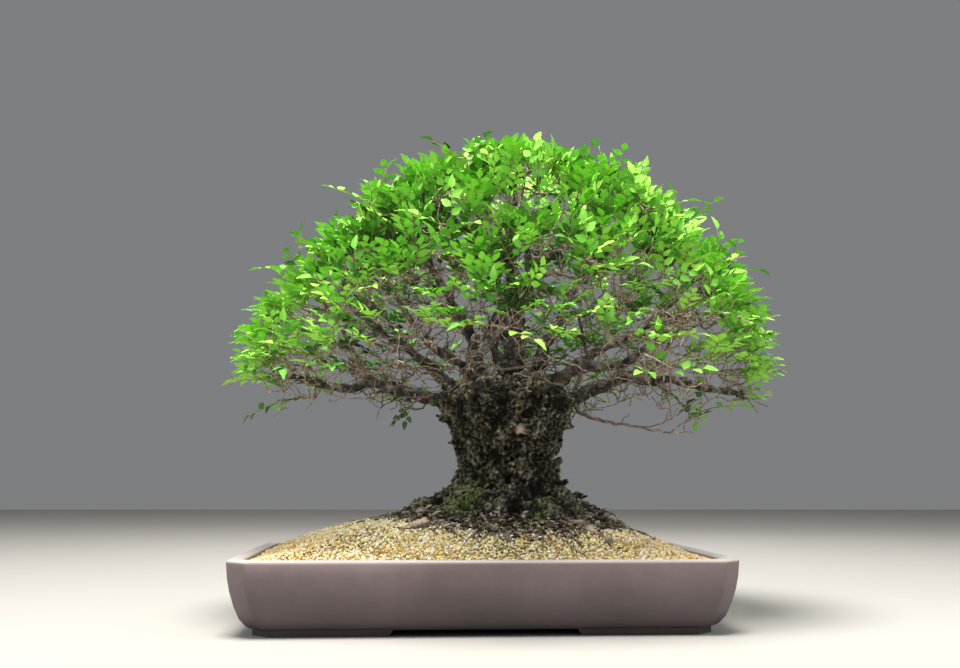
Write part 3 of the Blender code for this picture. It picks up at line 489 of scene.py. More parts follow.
branching = {"stops": (0.4, 0.7, 1.0), "firstStop": 0.9, "shortest": 0.012, "back": 0.5, "turn": 0.6, "drop": 0.25,
             "tipFavour": 0.045, "lead": 0.36, "tail": 0.30, "bow": 0.15, "points": 3, "share": 0.80,
             "thin": 0.0034, "thickens": 0.016, "end": 0.0028, "neck": 0.0120}
seeds = {"places": 5, "branches": 23, "spray": 100}


def soilHeight(x, y):
    halfX = tray["length"] / 2 - tray["wallInTop"]
    halfY = tray["depth"] / 2 - tray["wallInTop"]
    fromEdge = max(abs((x - tray["middleX"]) / halfX), abs(y / halfY))
    fromTrunk = min(1.0, math.hypot((x - tray["middleX"]) / halfX, y / halfY))
    share = (fromEdge + fromTrunk) / 2
    return mound["edgeZ"] + (mound["topZ"] - mound["edgeZ"]) * (1 - min(1.0, share) ** mound["power"])


def trunkRadius(z):
    for (low, first), (high, second) in zip(trunk["rings"], trunk["rings"][1:]):
        if low <= z <= high:
            return first + (second - first) * (z - low) / (high - low)
    return trunk["rings"][-1][1]


def rootRoute(angleDeg, reach):
    angle = math.radians(angleDeg)
    away = Vector((math.cos(angle), math.sin(angle) * roots["depth"], 0))
    side = Vector((-away.y, away.x, 0))
    swing = roots["swing"] * math.sin(angleDeg * roots["swingRate"])
    route = []
    for share, lift in roots["route"]:
        spot = away * (reach * share / 1000) + side * (swing * math.sin(share * roots["wave"]))
        route.append(Vector((spot.x, spot.y, soilHeight(spot.x, spot.y) + lift)))
    return route


def crownPoint(azimuth, share):
    right = (1 + math.cos(azimuth)) / 2
    power = crown["shoulder"][0] + crown["shoulder"][1] * right
    root = crown["fullness"][0] + crown["fullness"][1] * right
    width = max(0.0, 1 - max(0.0, share) ** power) ** (1 / root)
    if share < 0:
        width = 1 + crown["tuck"] * share
    return Vector((crown["x"] + crown["halfWidth"] * width * math.cos(azimuth),
                   crown["halfDepth"] * width * math.sin(azimuth), crown["z"] + crown["height"] * share))


def crownOutward(spot):
    return Vector(((spot.x - crown["x"]) / crown["halfWidth"] ** 2, spot.y / crown["halfDepth"] ** 2,
                   max(crown["droop"], spot.z - crown["z"]) / crown["height"] ** 2)).normalized()


def sprayPlaces():
    rng = random.Random(seeds["places"])
    places = []
    for number in range(sprays["count"]):
        share = sprays["lowest"] + (sprays["highest"] - sprays["lowest"]) * (number + 0.5) / sprays["count"]
        outside = crownPoint(number * sprays["turn"] + sprays["firstTurn"], share)
        outward = crownOutward(outside)
        depth = sprays["depth"] + sprays["depthMore"] * rng.random()
        places.append((outside - outward * depth, outward))
    return places


def turnShare(first, second):
    return 1 - max(-1.0, min(1.0, first.dot(second)))


def branchStart(root, outward, lines, continued):
    best = None
    for name, route, start, end in lines:
        last = len(route) - 1
        for number, (a, b) in enumerate(zip(route, route[1:])):
            for stop in branching["stops"]:
                reached = number + stop
                spot = a.lerp(b, stop)
                along = (b - a).normalized()
                way = root - spot
                if reached <= branching["firstStop"] or way.length < branching["shortest"]:
                    continue
                ahead = way.normalized()
                bend = (branching["back"] * turnShare(along, ahead)
                        + branching["turn"] * turnShare(outward, ahead))
                cost = way.length * (1 + bend) + branching["drop"] * max(0.0, spot.z - root.z)
                if reached == last and name not in continued:
                    cost -= branching["tipFavour"]
                if best is None or cost < best[0]:
                    radius = start + (end - start) * reached / last
                    best = (cost, spot, along, radius, name if reached == last else None)
    return best[1:]


def branchTo(root, outward, lines, continued, rng):
    spot, along, limbRadius, tip = branchStart(root, outward, lines, continued)
    continued.add(tip)
    neck = root - outward * branching["neck"]
    span = (neck - spot).length
    side = along.cross(outward)
    side = side.normalized() if side.length > 1e-3 else Vector((0, 0, 1))
    bow = side * span * rng.uniform(-branching["bow"], branching["bow"])
    points = geometry.interpolate_bezier(spot, spot + along * span * branching["lead"] + bow,
                                         neck - outward * span * branching["tail"], neck, branching["points"])
    radius = min(limbRadius * branching["share"], branching["thin"] + span * branching["thickens"])
    return points + [root], radius


def planTree():
    rng = random.Random(seeds["branches"])
    lines = [(name, [Vector(p) / 1000 for p in points], start / 1000, end / 1000)
             for name, (start, end, points) in limbs.items()]
    branches, feet, continued = [], [], set()
    for middle, outward in sprayPlaces():
        root = middle - outward * sprays["stem"]
        branches.append(branchTo(root, outward, lines, continued, rng))
        feet.append((root, middle, outward))
    return lines, branches, feet


# Shoots: three on each spray where the solids have them

shoots = {"leafLength": 0.0200, "leafWidth": 0.0098, "pitch": 0.0090, "leaves": (4, 4, 4),
          "angle": (52, 60), "varies": (0.93, 1.05), "first": 0.84, "gain": 0.04, "endLeaf": 0.95,
          "foot": 0.0060, "slimmer": 0.81, "lift": 0.22, "curl": 2.5, "nod": 3.2,
          "reachAlong": (0.15, 0.35, 0.55, 0.75, 0.90, 1.0), "reachAcross": (-1, -0.5, 0, 0.5, 1),
          "reachWidth": 0.9, "narrows": 0.8, "reachTip": 0.5, "tries": 60, "triesASize": 8, "shrink": 0.04,
          "spread": 54, "spreadStep": 4, "spreadSteps": 4, "roll": 25, "rise": 0.25, "lean": (0.3, 0.9),
          "edgeOn": 0.93, "steep": 0.2, "near": 0.12, "roomToSprays": 0.001, "roomToWood": 0.004,
          "roomToTwin": 0.003, "inward": 0.007}


def solidLines(lines, branches):
    # Each limb and branch of the solids: its route, its first radius and its last.
    return [line[1:] for line in lines] + [(*branch, branching["end"]) for branch in branches]


def woodSegments(lines, branches):
    found = []
    for route, start, end in solidLines(lines, branches):
        for number, (a, b) in enumerate(zip(route, route[1:])):
            found.append((a, b, start + (end - start) * number / (len(route) - 1)))
    return found


def distanceToSegment(spot, a, b):
    along = b - a
    share = max(0.0, min(1.0, (spot - a).dot(along) / max(along.length_squared, 1e-12)))
    return (spot - a - along * share).length


def shootFrame(base, along, face):
    x = along.normalized()
    y = face.cross(x).normalized()
    return Matrix.Translation(base) @ Matrix((x, y, x.cross(y))).transposed().to_4x4()


def arch(x, y, scale):
    x, y = x / scale, y / scale
    return scale * (shoots["lift"] * abs(y) - shoots["curl"] * y * y - shoots["nod"] * max(0.0, x) ** 2)


def shootReach(place, leaves, scale):
    spots = []
    long = (shoots["foot"] + (leaves - 1) * shoots["pitch"] + shoots["leafLength"]) * scale
    for share in shoots["reachAlong"]:
        wide = (shoots["leafLength"] * shoots["reachWidth"] * scale
                * (1.0 if share < shoots["narrows"] else shoots["reachTip"]))
        for side in shoots["reachAcross"]:
            x, y = long * share, wide * side
            spots.append(place @ Vector((x, y, arch(x, y, scale))))
    return spots


def tryShoot(attempt, turn, fork, outward, across, rng):
    spread = math.radians(shoots["spread"] + shoots["spreadStep"] * (attempt % shoots["spreadSteps"]))
    roll = math.radians(turn + rng.uniform(-shoots["roll"], shoots["roll"]))
    sideways = across * math.cos(roll) + across.cross(outward) * math.sin(roll)
    along = outward * math.cos(spread) + sideways * math.sin(spread) + up * shoots["rise"]
    along.normalize()
    face = (up + outward * rng.uniform(*shoots["lean"])).normalized()
    if abs(face.dot(along)) > shoots["edgeOn"]:
        face = outward.cross(across)
    scale = 1.0 - shoots["shrink"] * (attempt // shoots["triesASize"])
    return shootFrame(fork + along * sprays["twig"], along, face), scale


def placeShoots(number, feet, segments, rng):
    root, middle, outward = feet[number]
    across = outward.cross(up)
    across = across.normalized() if across.length > shoots["steep"] else Vector((1, 0, 0))
    others = [m for n, (_, m, _) in enumerate(feet) if n != number]
    near = [s for s in segments if min((s[0] - middle).length, (s[1] - middle).length) < shoots["near"]]
    placed = []
    for order, (turn, leaves) in enumerate(zip(sprays["shootTurns"], shoots["leaves"])):
        fork = root + outward * (sprays["fork"] + sprays["forkStep"] * order)
        best = None
        for attempt in range(shoots["tries"]):
            place, scale = tryShoot(attempt, turn, fork, outward, across, rng)
            spots = shootReach(place, leaves, scale)
            space = min(min((m - p).length - (middle - p).length for m in others) for p in spots)
            clear = min(distanceToSegment(p, a, b) - r for p in spots for a, b, r in near)
            worst = min(space / 2 - shoots["roomToSprays"], clear - shoots["roomToWood"])
            for other in placed:
                apart = min((p - q).length for p in spots for q in other[2])
                worst = min(worst, apart - shoots["roomToTwin"])
            if best is None or worst > best[0]:
                best = (worst, place, spots, scale, leaves)
            if worst > 0:
                break
        placed.append(best)
    return placed


def solidShoots(lines, branches, feet):
    # Each is its spray, place, scale, and its leaves as (distance along, angle, length, width). They are
    # drawn a little inward, as the living shoots' soft tips end short of the solids'.
    segments = woodSegments(lines, branches)
    found = []
    for number in range(len(feet)):
        rng = random.Random(seeds["spray"] + number)
        for _, place, _, scale, leaves in placeShoots(number, feet, segments, rng):
            rows = []
            for order in range(leaves - 1):
                at = (shoots["foot"] + order * shoots["pitch"]) * scale
                long = shoots["leafLength"] * scale * (shoots["first"] + shoots["gain"] * order)
                long *= rng.uniform(*shoots["varies"]) * shoots["slimmer"]
                angle = (1 if order % 2 else -1) * math.radians(rng.uniform(*shoots["angle"]))
                rows.append((at, angle, long, shoots["leafWidth"] * shoots["slimmer"] * scale))
            tip = (shoots["foot"] + (leaves - 1) * shoots["pitch"]) * scale
            size = scale * shoots["endLeaf"] * shoots["slimmer"]
            rows.append((tip, 0.0, shoots["leafLength"] * size, shoots["leafWidth"] * size))
            inward = Matrix.Translation(feet[number][2] * -shoots["inward"])
            found.append((number, inward @ place, scale, rows))
    return found


lines, branches, feet = planTree()
shootList = solidShoots(lines, branches, feet)
print("tree planned:", len(branches), "branches,", len(shootList), "shoots as in the solids")


# Skeleton: the limbs and branches made gnarled, then finer twigs grown out from them to leafy tips

gnarl = {"pitch": 0.0036, "bend": 0.0075, "bendScale": 34.0, "bendReach": 1.15, "bendPower": 0.5,
         "tipFrom": 0.87, "knot": 0.50, "knotScale": 95.0, "slim": 0.62, "slimEnd": 0.56, "taper": 0.8,
         "farthest": 50, "seed": 41}
boughs = {"count": 150, "depth": (0.42, 0.84), "lowest": -0.05, "highest": 0.95, "middle": (0, 0, 0.235),
          "firstTurn": 2.3, "turnVaries": 0.15, "stray": 0.5, "wander": 0.0030, "thin": 0.00105, "seed": 52}
tips = {"count": 1060, "under": (0.0, 0.012), "deepShare": 0.16, "deep": (0.020, 0.090), "firstTurn": 1.1,
        "turnVaries": 0.06, "clumpScale": 27.0, "clump": 1.5, "clumpFloor": 0.68, "topFloor": 4.0,
        "topFrom": 0.42, "openTo": 1.25, "openOver": 0.5, "lean": (0.15, 0.80), "lowest": 0.02,
        "lowestRight": -0.05, "highest": 1.0, "shoulderIn": (0.021, 0.018), "shoulderFrom": 0.22,
        "topIn": 0.008, "topPower": 6, "stray": 0.35, "lift": 0.15, "seed": 61}
# The fans of shoots at the tips. The solids' shoots have their own sizes above.
fans = {"shoots": (2, 3), "spread": 46.0, "spreadShare": 0.8, "varies": 12.0, "stalk": (0.003, 0.010),
        "stalkShare": (0.6, 1.0), "stalkThin": 0.8, "rise": 0.24, "tilt": 0.14, "tiltEach": 0.15,
        "splay": 0.85, "splayPower": 3, "edgeOn": 0.9, "leaves": (5, 7), "leafLength": (0.0135, 0.0185),
        "smaller": (0.9, 1.0), "pitch": 0.0047, "angle": (42, 60), "smallest": 0.74, "leafVaries": (0.9, 1.08),
        "width": (0.45, 0.53), "endLeaf": (0.85, 1.0), "endAngle": 8, "endWidth": 0.52}
# Single twigs that stand out: two radii and a route in millimetres, and whether its end bears leaves.
singles = (
    ((3.0, 0.9, ((78, -26, 224), (112, -34, 213), (150, -32, 208), (178, -36, 202), (208, -30, 203))), False),
    ((1.4, 0.6, ((150, -32, 208), (168, -44, 212), (182, -50, 220))), True),
    ((1.3, 0.6, ((178, -36, 202), (190, -28, 210), (204, -22, 217))), True),
    ((1.8, 0.7, ((-84, -34, 242), (-96, -50, 238), (-104, -58, 234), (-108, -58, 229))), True),
    ((1.4, 0.6, ((-96, -50, 238), (-108, -44, 239), (-119, -36, 238))), True),
)
single = {"pitch": 0.006, "wander": 0.0012, "facing": (0, -0.8, 0.6), "leaves": 4, "leafLength": 0.0120,
          "stalk": 0.003}
# Curled twigs: a middle and a radius in millimetres, the angle where each starts and how far it turns.
curls = (((-122, -96, 262), 17, 20, -230), ((-134, -92, 258), 22, -60, 190),
         ((-108, -100, 258), 12, 160, -240), ((-150, -90, 268), 15, 200, 200),
         ((-88, -90, 252), 14, 90, -210), ((-30, -96, 262), 15, 10, 200), ((96, -92, 262), 16, 170, -220),
         ((128, -84, 268), 13, 20, 230))
curled = {"steps": 10, "closes": 0.03, "advance": 1.2, "back": 6, "flat": 0.62, "radius": 1.5, "thins": 0.08}
# Places where the crown is open and its wood shows: a middle and half sizes in millimetres, and how open.
windows = (((5, -170, 420), (44, 75, 24), 0.92), ((126, -150, 325), (54, 80, 34), 0.85),
           ((-40, -170, 262), (170, 110, 30), 0.62), ((60, -150, 250), (170, 120, 26), 0.70),
           ((-60, 60, 250), (170, 160, 24), 0.7), ((110, 60, 250), (160, 160, 24), 0.7))
bareTwigs = {"count": 1300, "length": (0.010, 0.038), "low": 0.222, "high": 0.400, "outermost": 0.93,
             "forward": (0.1, 1.0), "rise": (-0.2, 0.5), "kink": 0.55, "thick": (0.7, 1.3), "seed": 77}
twigs = {"pitch": 0.0062, "wander": 0.0015, "lead": 0.30, "tail": 0.35, "thin": 0.00060, "grows": 0.44,
         "turnCost": 0.55, "backCost": 0.45, "barred": 1.0, "shallower": 0.015, "shortest": 0.006, "seed": 88}


def wobble(rng, reach, size=1.0):
    return Vector([rng.uniform(-reach, reach) * size for _ in range(3)])


def evenRoute(points, pitch):
    # Points at an even pitch along a smooth curve through the given ones.
    ends = [points[0] * 2 - points[1], *points, points[-1] * 2 - points[-2]]
    route = []
    for before, start, end, after in zip(ends, ends[1:], ends[2:], ends[3:]):
        steps = max(2, round((end - start).length / pitch))
        lead, tail = (end - before) / 6, (after - start) / 6
        route += geometry.interpolate_bezier(start, start + lead, end - tail, end, steps + 1)[:-1]
    return route + [points[-1].copy()]


def gnarled(points, start, end, offset):
    # A limb's own line: bent and knotted by noise, but held at both ends.
    route = evenRoute(points, gnarl["pitch"])
    radii = []
    for number, spot in enumerate(route):
        share = number / (len(route) - 1)
        if share < gnarl["tipFrom"]:
            free = math.sin(math.pi * min(1.0, share * gnarl["bendReach"])) ** gnarl["bendPower"]
        else:
            free = (1 - share) / (1 - gnarl["tipFrom"])
        shift = noise.noise_vector(spot * gnarl["bendScale"] + offset)
        knot = 1 + gnarl["knot"] * noise.noise(spot * gnarl["knotScale"] + offset)
        radii.append((start + (end - start) * share ** gnarl["taper"]) * knot)
        route[number] = spot + shift * gnarl["bend"] * max(0.0, free)
    return route, radii


def crownShare(spots):
    # 0 in the crown's middle, 1 on its outside.
    return np.sqrt((spots[:, 0] / crown["halfWidth"]) ** 2 + (spots[:, 1] / crown["halfDepth"]) ** 2
                   + ((spots[:, 2] - crown["z"] + crown["waist"]) / (crown["height"] + crown["waist"])) ** 2)


def shareOf(spot):
    return crownShare(np.array([spot]))[0]


class Skeleton:
    # Strands of wood, each a route that starts on another strand, and every point that one may start from.
    def __init__(self, room=40000):
        self.routes, self.parents, self.loads, self.radii, self.owners = [], [], [], [], []
        self.spots, self.ways, self.shares = np.empty((room, 3)), np.empty((room, 3)), np.empty(room)

    def add(self, route, parent, load, radii, open=True):
        # The radii are a list, one for each point, or one value that the strand's load thickens.
        number = len(self.routes)
        self.routes.append(route)
        self.parents.append(parent)
        self.loads.append(load)
        self.radii.append(radii)
        if open:
            spots = np.array(route)
            steps = np.diff(spots, axis=0)
            first = len(self.owners)
            last = first + len(steps)
            self.spots[first:last] = spots[1:]
            self.ways[first:last] = steps / np.linalg.norm(steps, axis=1)[:, None]
            self.shares[first:last] = crownShare(spots[1:])
            self.owners += [(number, order) for order in range(1, len(route))]
        return number

    def closest(self, spot):
        return int(np.argmin(((self.spots[:len(self.owners)] - np.array(spot)) ** 2).sum(1)))

    def bestStart(self, target, heading):
        count = len(self.owners)
        way = np.array(target) - self.spots[:count]
        span = np.linalg.norm(way, axis=1) + 1e-9
        ahead = way / span[:, None]
        cost = span * (1 + twigs["backCost"] * (1 - (ahead * self.ways[:count]).sum(1))
                       + twigs["turnCost"] * (1 - ahead @ np.array(heading)))
        cost[self.shares[:count] > shareOf(target) - twigs["shallower"]] += twigs["barred"]
        cost[span < twigs["shortest"]] += twigs["barred"]
        return int(np.argmin(cost))

    def grow(self, target, heading, wander, thin, rng):
        pick = self.bestStart(target, heading)
        foot, way = Vector(self.spots[pick]), Vector(self.ways[pick])
        span = (target - foot).length
        steps = max(3, round(span / twigs["pitch"]) + 1)
        route = geometry.interpolate_bezier(foot, foot + way * span * twigs["lead"],
                                            target - heading * span * twigs["tail"], target, steps)
        for order in range(1, len(route) - 1):
            route[order] += wobble(rng, 1, wander)
        return self.add(route, self.owners[pick], 0, thin)

    def settle(self):
        # How many shoots hang on each point, from the tips back, and the radius that they ask for.
        carried = [np.full(len(route), float(load)) for route, load in zip(self.routes, self.loads)]
        for number in range(len(self.routes) - 1, -1, -1):
            if self.parents[number] is not None:
                owner, order = self.parents[number]
                carried[owner][:order + 1] += carried[number][0]
        for number, radii in enumerate(self.radii):
            if not isinstance(radii, list):
                self.radii[number] = list(radii * (1 + carried[number]) ** twigs["grows"])


def leafiness(spot):
    # The share of tips that bear leaves there.
    share = 1.0
    for middle, halves, openness in windows:
        away = math.sqrt(sum(((a * 1000 - b) / c) ** 2 for a, b, c in zip(spot, middle, halves)))
        share *= 1 - openness * max(0.0, min(1.0, (tips["openTo"] - away) / tips["openOver"]))
    floor = tips["clumpFloor"] + tips["topFloor"] * max(0.0, spot.z - tips["topFrom"])
    return share * min(1.0, floor + tips["clump"] * noise.noise(spot * tips["clumpScale"]))


def leafRows(leaves, length, rng):
    # A shoot's leaves, longest in its middle.
    rows = []
    for order in range(leaves - 1):
        hump = (1 - fans["smallest"]) * math.sin(math.pi * (order + 1) / leaves)
        size = length * (fans["smallest"] + hump) * rng.uniform(*fans["leafVaries"])
        turn = 1 if order % 2 else -1
        rows.append((shoots["foot"] + order * fans["pitch"], turn * math.radians(rng.uniform(*fans["angle"])),
                     size, size * rng.uniform(*fans["width"])))
    end = length * rng.uniform(*fans["endLeaf"])
    angle = math.radians(rng.uniform(-fans["endAngle"], fans["endAngle"]))
    rows.append((shoots["foot"] + (leaves - 1) * fans["pitch"], angle, end, end * fans["endWidth"]))
    return rows


def nearestSpray(spot):
    return min(range(len(feet)), key=lambda number: (feet[number][1] - spot).length_squared)


def growCoarse(skeleton):
    # The limbs and branches of the solids, slimmer and gnarled, and the solids' own shoots.
    rng = random.Random(gnarl["seed"])
    for number, (route, start, end) in enumerate(solidLines(lines, branches)):
        offset = Vector([rng.uniform(0, gnarl["farthest"]) for _ in range(3)])
        curved, radii = gnarled(route, start * gnarl["slim"], end * gnarl["slimEnd"], offset)
        owner = None
        if number >= len(lines):
            pick = skeleton.closest(curved[0])
            curved[0] = Vector(skeleton.spots[pick])
            owner = skeleton.owners[pick]
        skeleton.add(curved, owner, 0, radii)
    for order, (number, place, scale, rows) in enumerate(shootList):
        root, _, outward = feet[number]
        fork = root + outward * (sprays["fork"] + sprays["forkStep"] * (order % len(sprays["shootTurns"])))
        base = place.translation
        route = [root, root.lerp(fork, 0.5), fork, fork.lerp(base, 0.5), base]
        skeleton.add(route, (len(lines) + number, -1), 1, twigs["thin"])


def growBoughs(skeleton):
    # Boughs fill the crown between the limbs and the twigs.
    rng = random.Random(boughs["seed"])
    goals = []
    for number in range(boughs["count"]):
        azimuth = number * sprays["turn"] + boughs["firstTurn"]
        azimuth += rng.uniform(-boughs["turnVaries"], boughs["turnVaries"])
        share = boughs["lowest"] + (boughs["highest"] - boughs["lowest"]) * (number + 0.5) / boughs["count"]
        outside = crownPoint(azimuth, share)
        spot = Vector(boughs["middle"]).lerp(outside, rng.uniform(*boughs["depth"]))
        goals.append((spot, crownOutward(outside)))
    goals.sort(key=lambda goal: shareOf(goal[0]))
    for spot, outward in goals:
        heading = (outward + wobble(rng, boughs["stray"])).normalized()
        skeleton.grow(spot, heading, boughs["wander"], boughs["thin"], rng)


def growSingles(skeleton, rng):
    for (start, end, points), leafy in singles:
        spots = evenRoute([Vector(point) / 1000 for point in points], single["pitch"])
        pick = skeleton.closest(spots[0])
        route = [Vector(skeleton.spots[pick])] + [spot + wobble(rng, 1, single["wander"]) for spot in spots]
        last = len(route) - 1
        radii = [(start + (end - start) * order / last) / 1000 for order in range(last + 1)]
        strand = skeleton.add(route, skeleton.owners[pick], 0, radii)
        if leafy:
            heading = (route[-1] - route[-2]).normalized()
            goal = (route[-1], Vector(single["facing"]), True, single["leaves"], single["leafLength"],
                    single["stalk"])
            hangShoots(skeleton, strand, goal, heading, rng)


def growCurls(skeleton):
    steps = curled["steps"]
    for middle, radius, first, sweep in curls:
        route = []
        for order in range(steps + 1):
            angle = math.radians(first + sweep * order / steps)
            out = radius * (1 - curled["closes"] * order)
            offset = Vector((math.cos(angle) * out, order * curled["advance"] - curled["back"],
                             math.sin(angle) * out * curled["flat"]))
            route.append((Vector(middle) + offset) / 1000)
        pick = skeleton.closest(route[0])
        radii = [(curled["radius"] - curled["thins"] * order) / 1000 for order in range(steps + 2)]
        skeleton.add([Vector(skeleton.spots[pick])] + route, skeleton.owners[pick], 0, radii)


def leafyGoals():
    # Where the leafy twigs end: a spot, its outward direction, whether it bears leaves, and their sizes.
    rng = random.Random(tips["seed"])
    goals = []
    for number in range(tips["count"]):
        azimuth = number * sprays["turn"] + tips["firstTurn"]
        azimuth += rng.uniform(-tips["turnVaries"], tips["turnVaries"])
        right = (1 + math.cos(azimuth)) / 2
        lowest = tips["lowest"] + (tips["lowestRight"] - tips["lowest"]) * right
        share = lowest + (tips["highest"] - lowest) * (number + 0.5) / tips["count"]
        outside = crownPoint(azimuth, share)
        outward = crownOutward(outside)
        deep = rng.random() < tips["deepShare"]
        leaves = rng.randint(*fans["leaves"])
        length = rng.uniform(*fans["leafLength"])
        stalk = rng.uniform(*fans["stalk"])
        reach = stalk + shoots["foot"] + (leaves - 1) * fans["pitch"] + length
        hump = math.sin(math.pi * max(0.0, share - tips["shoulderFrom"]) / (1 - tips["shoulderFrom"]))
        inward = (tips["shoulderIn"][0] + (tips["shoulderIn"][1] - tips["shoulderIn"][0]) * right) * hump
        inward += tips["topIn"] * max(0.0, share) ** tips["topPower"]
        spot = outside - outward * (reach + inward + rng.uniform(*(tips["deep"] if deep else tips["under"])))
        leafy = rng.random() < leafiness(spot)
        goals.append((spot, outward, leafy, leaves, length, stalk))
    return goals


def growBareTwigs(skeleton):
    # Short kinked twigs without leaves, all over the wood that is there.
    rng = random.Random(bareTwigs["seed"])
    for _ in range(bareTwigs["count"]):
        pick = rng.randrange(len(skeleton.owners))
        foot, way = Vector(skeleton.spots[pick]), Vector(skeleton.ways[pick])
        share = skeleton.shares[pick]
        length = rng.uniform(*bareTwigs["length"])
        side = wobble(rng, 1).cross(way).normalized()
        heading = side + way * rng.uniform(*bareTwigs["forward"]) + up * rng.uniform(*bareTwigs["rise"])
        heading.normalize()
        low = (foot + heading * length).z < bareTwigs["low"]
        if low or foot.z > bareTwigs["high"] or share > bareTwigs["outermost"]:
            continue
        route = [foot]
        for _ in range(max(2, round(length / twigs["pitch"]))):
            heading = (heading + wobble(rng, bareTwigs["kink"])).normalized()
            route.append(route[-1] + heading * twigs["pitch"])
        skeleton.add(route, skeleton.owners[pick], 0, twigs["thin"] * rng.uniform(*bareTwigs["thick"]))


def hangShoots(skeleton, strand, goal, heading, rng):
    # A fan of leafy shoots at a twig's end.
    spot, outward, _, mostLeaves, length, stalk = goal
    tilt = wobble(rng, fans["tilt"])
    face = (up + outward * rng.uniform(*tips["lean"]) + tilt).normalized()
    # At the top of the crown the fans lean every way.
    turned = strand * sprays["turn"]
    level = Vector((math.cos(turned), math.sin(turned), 0))
    heading = (heading + level * fans["splay"] * max(0.0, outward.z) ** fans["splayPower"]).normalized()
    if abs(face.dot(heading)) > fans["edgeOn"]:
        face = heading.cross(level).normalized()
    count = rng.randint(*fans["shoots"])
    for order in range(count):
        side = order - (count - 1) / 2
        angle = side * 2 * fans["spread"] / max(1, count - 1) * fans["spreadShare"]
        angle += rng.uniform(-1, 1) * fans["varies"]
        turn = Matrix.Rotation(math.radians(angle), 3, face)
        along = (turn @ heading + up * rng.uniform(0, fans["rise"])).normalized()
        base = spot + along * stalk * rng.uniform(*fans["stalkShare"])
        lean = (face + wobble(rng, fans["tiltEach"])).normalized()
        if abs(lean.dot(along)) > shoots["edgeOn"]:
            lean = along.orthogonal().normalized()
        thin = twigs["thin"] * fans["stalkThin"]
        skeleton.add([spot, spot.lerp(base, 0.5), base], (strand, -1), 1, thin, open=False)
        rows = leafRows(mostLeaves - rng.randint(0, 1), length * rng.uniform(*fans["smaller"]), rng)
        shootList.append((nearestSpray(base), shootFrame(base, along, lean), 1.0, rows))


def growTree():
    skeleton = Skeleton()
    growCoarse(skeleton)
    growBoughs(skeleton)
    growSingles(skeleton, random.Random(twigs["seed"]))
    growCurls(skeleton)
    growBareTwigs(skeleton)
    goals = leafyGoals()
    goals.sort(key=lambda goal: shareOf(goal[0]))
    rng = random.Random(twigs["seed"])
    for goal in goals:
        spot, outward, leafy = goal[:3]
        heading = (outward + wobble(rng, tips["stray"]) + up * tips["lift"]).normalized()
        strand = skeleton.grow(spot, heading, twigs["wander"], twigs["thin"], rng)
        if leafy:
            hangShoots(skeleton, strand, goal, heading, rng)
    skeleton.settle()
    return skeleton


skeleton = growTree()
print("twigs grown:", len(skeleton.routes), "strands,", len(shootList), "shoots")


# Leaves: one small blade with a toothed edge in three bends, copied to every place on its shoot

leaf = {"segments": 8, "teeth": 0.07, "hook": 0.02, "widest": 0.80, "fullness": 0.95, "foot": (0.05, 0.30),
        "lopsided": 0.08, "fold": 0.30, "foldShare": 0.45, "twistShare": 4, "merge": 1e-4,
        "bends": ((0.10, 0.02), (0.28, -0.04), (0.02, 0.05)), "seed": 19, "roll": 12.0, "pitch": 9.0,
        "tones": (0.30, 0.92), "toneStep": 0.05, "toneFrom": 2, "toneVaries": 0.10, "shade": 1.95,
        "sunlit": 0.90, "larger": 0.62}


def leafShape(number, droop, twist):
    bm = bmesh.new()
    bmesh.ops.create_grid(bm, x_segments=leaf["segments"], y_segments=2, size=0.5)
    layer = bm.loops.layers.uv.new("leaf")
    for face in bm.faces:
        for loop in face.loops:
            loop[layer].uv = (loop.vert.co.x + 0.5, loop.vert.co.y * 2)
    for vert in bm.verts:
        along, across = vert.co.x + 0.5, vert.co.y * 2
        station = round(along * leaf["segments"])
        wide = 0.0
        if station in (0, 1):
            wide = leaf["foot"][station]
        elif station < leaf["segments"]:
            wide = math.sin(math.pi * along ** leaf["widest"]) ** leaf["fullness"]
            if across:
                way = 1 if station % 2 else -1
                wide *= 1 + leaf["teeth"] * way
                along += leaf["hook"] * way
        wide *= 1 + leaf["lopsided"] * across * (1 - along)
        half = wide * across / 2
        folded = leaf["fold"] * abs(half) * leaf["foldShare"]
        vert.co = (along, half, folded - droop * along * along + twist * half * along * leaf["twistShare"])
    bmesh.ops.remove_doubles(bm, verts=bm.verts, dist=leaf["merge"])
    return meshOf(bm, f"leaf_shape_{number}")


def leafPoints(template, place, scale, row, rng):
    at, angle, length, width = row
    roll = math.radians(rng.uniform(-leaf["roll"], leaf["roll"]))
    pitch = math.radians(rng.uniform(-leaf["pitch"], leaf["pitch"]))
    along, across, height = template[:, 0] * length, template[:, 1] * width, template[:, 2] * length
    across, height = (across * math.cos(roll) - height * math.sin(roll),
                      across * math.sin(roll) + height * math.cos(roll))
    along, height = (along * math.cos(pitch) - height * math.sin(pitch),
                     along * math.sin(pitch) + height * math.cos(pitch))
    x = at + along * math.cos(angle) - across * math.sin(angle)
    y = along * math.sin(angle) + across * math.cos(angle)
    flat = (shoots["lift"] * np.abs(y / scale) - shoots["curl"] * (y / scale) ** 2
            - shoots["nod"] * np.maximum(0.0, x / scale) ** 2) * scale
    local = np.stack((x, y, flat + height), axis=1)
    return local @ np.array(place.to_3x3()).T + np.array(place.translation)


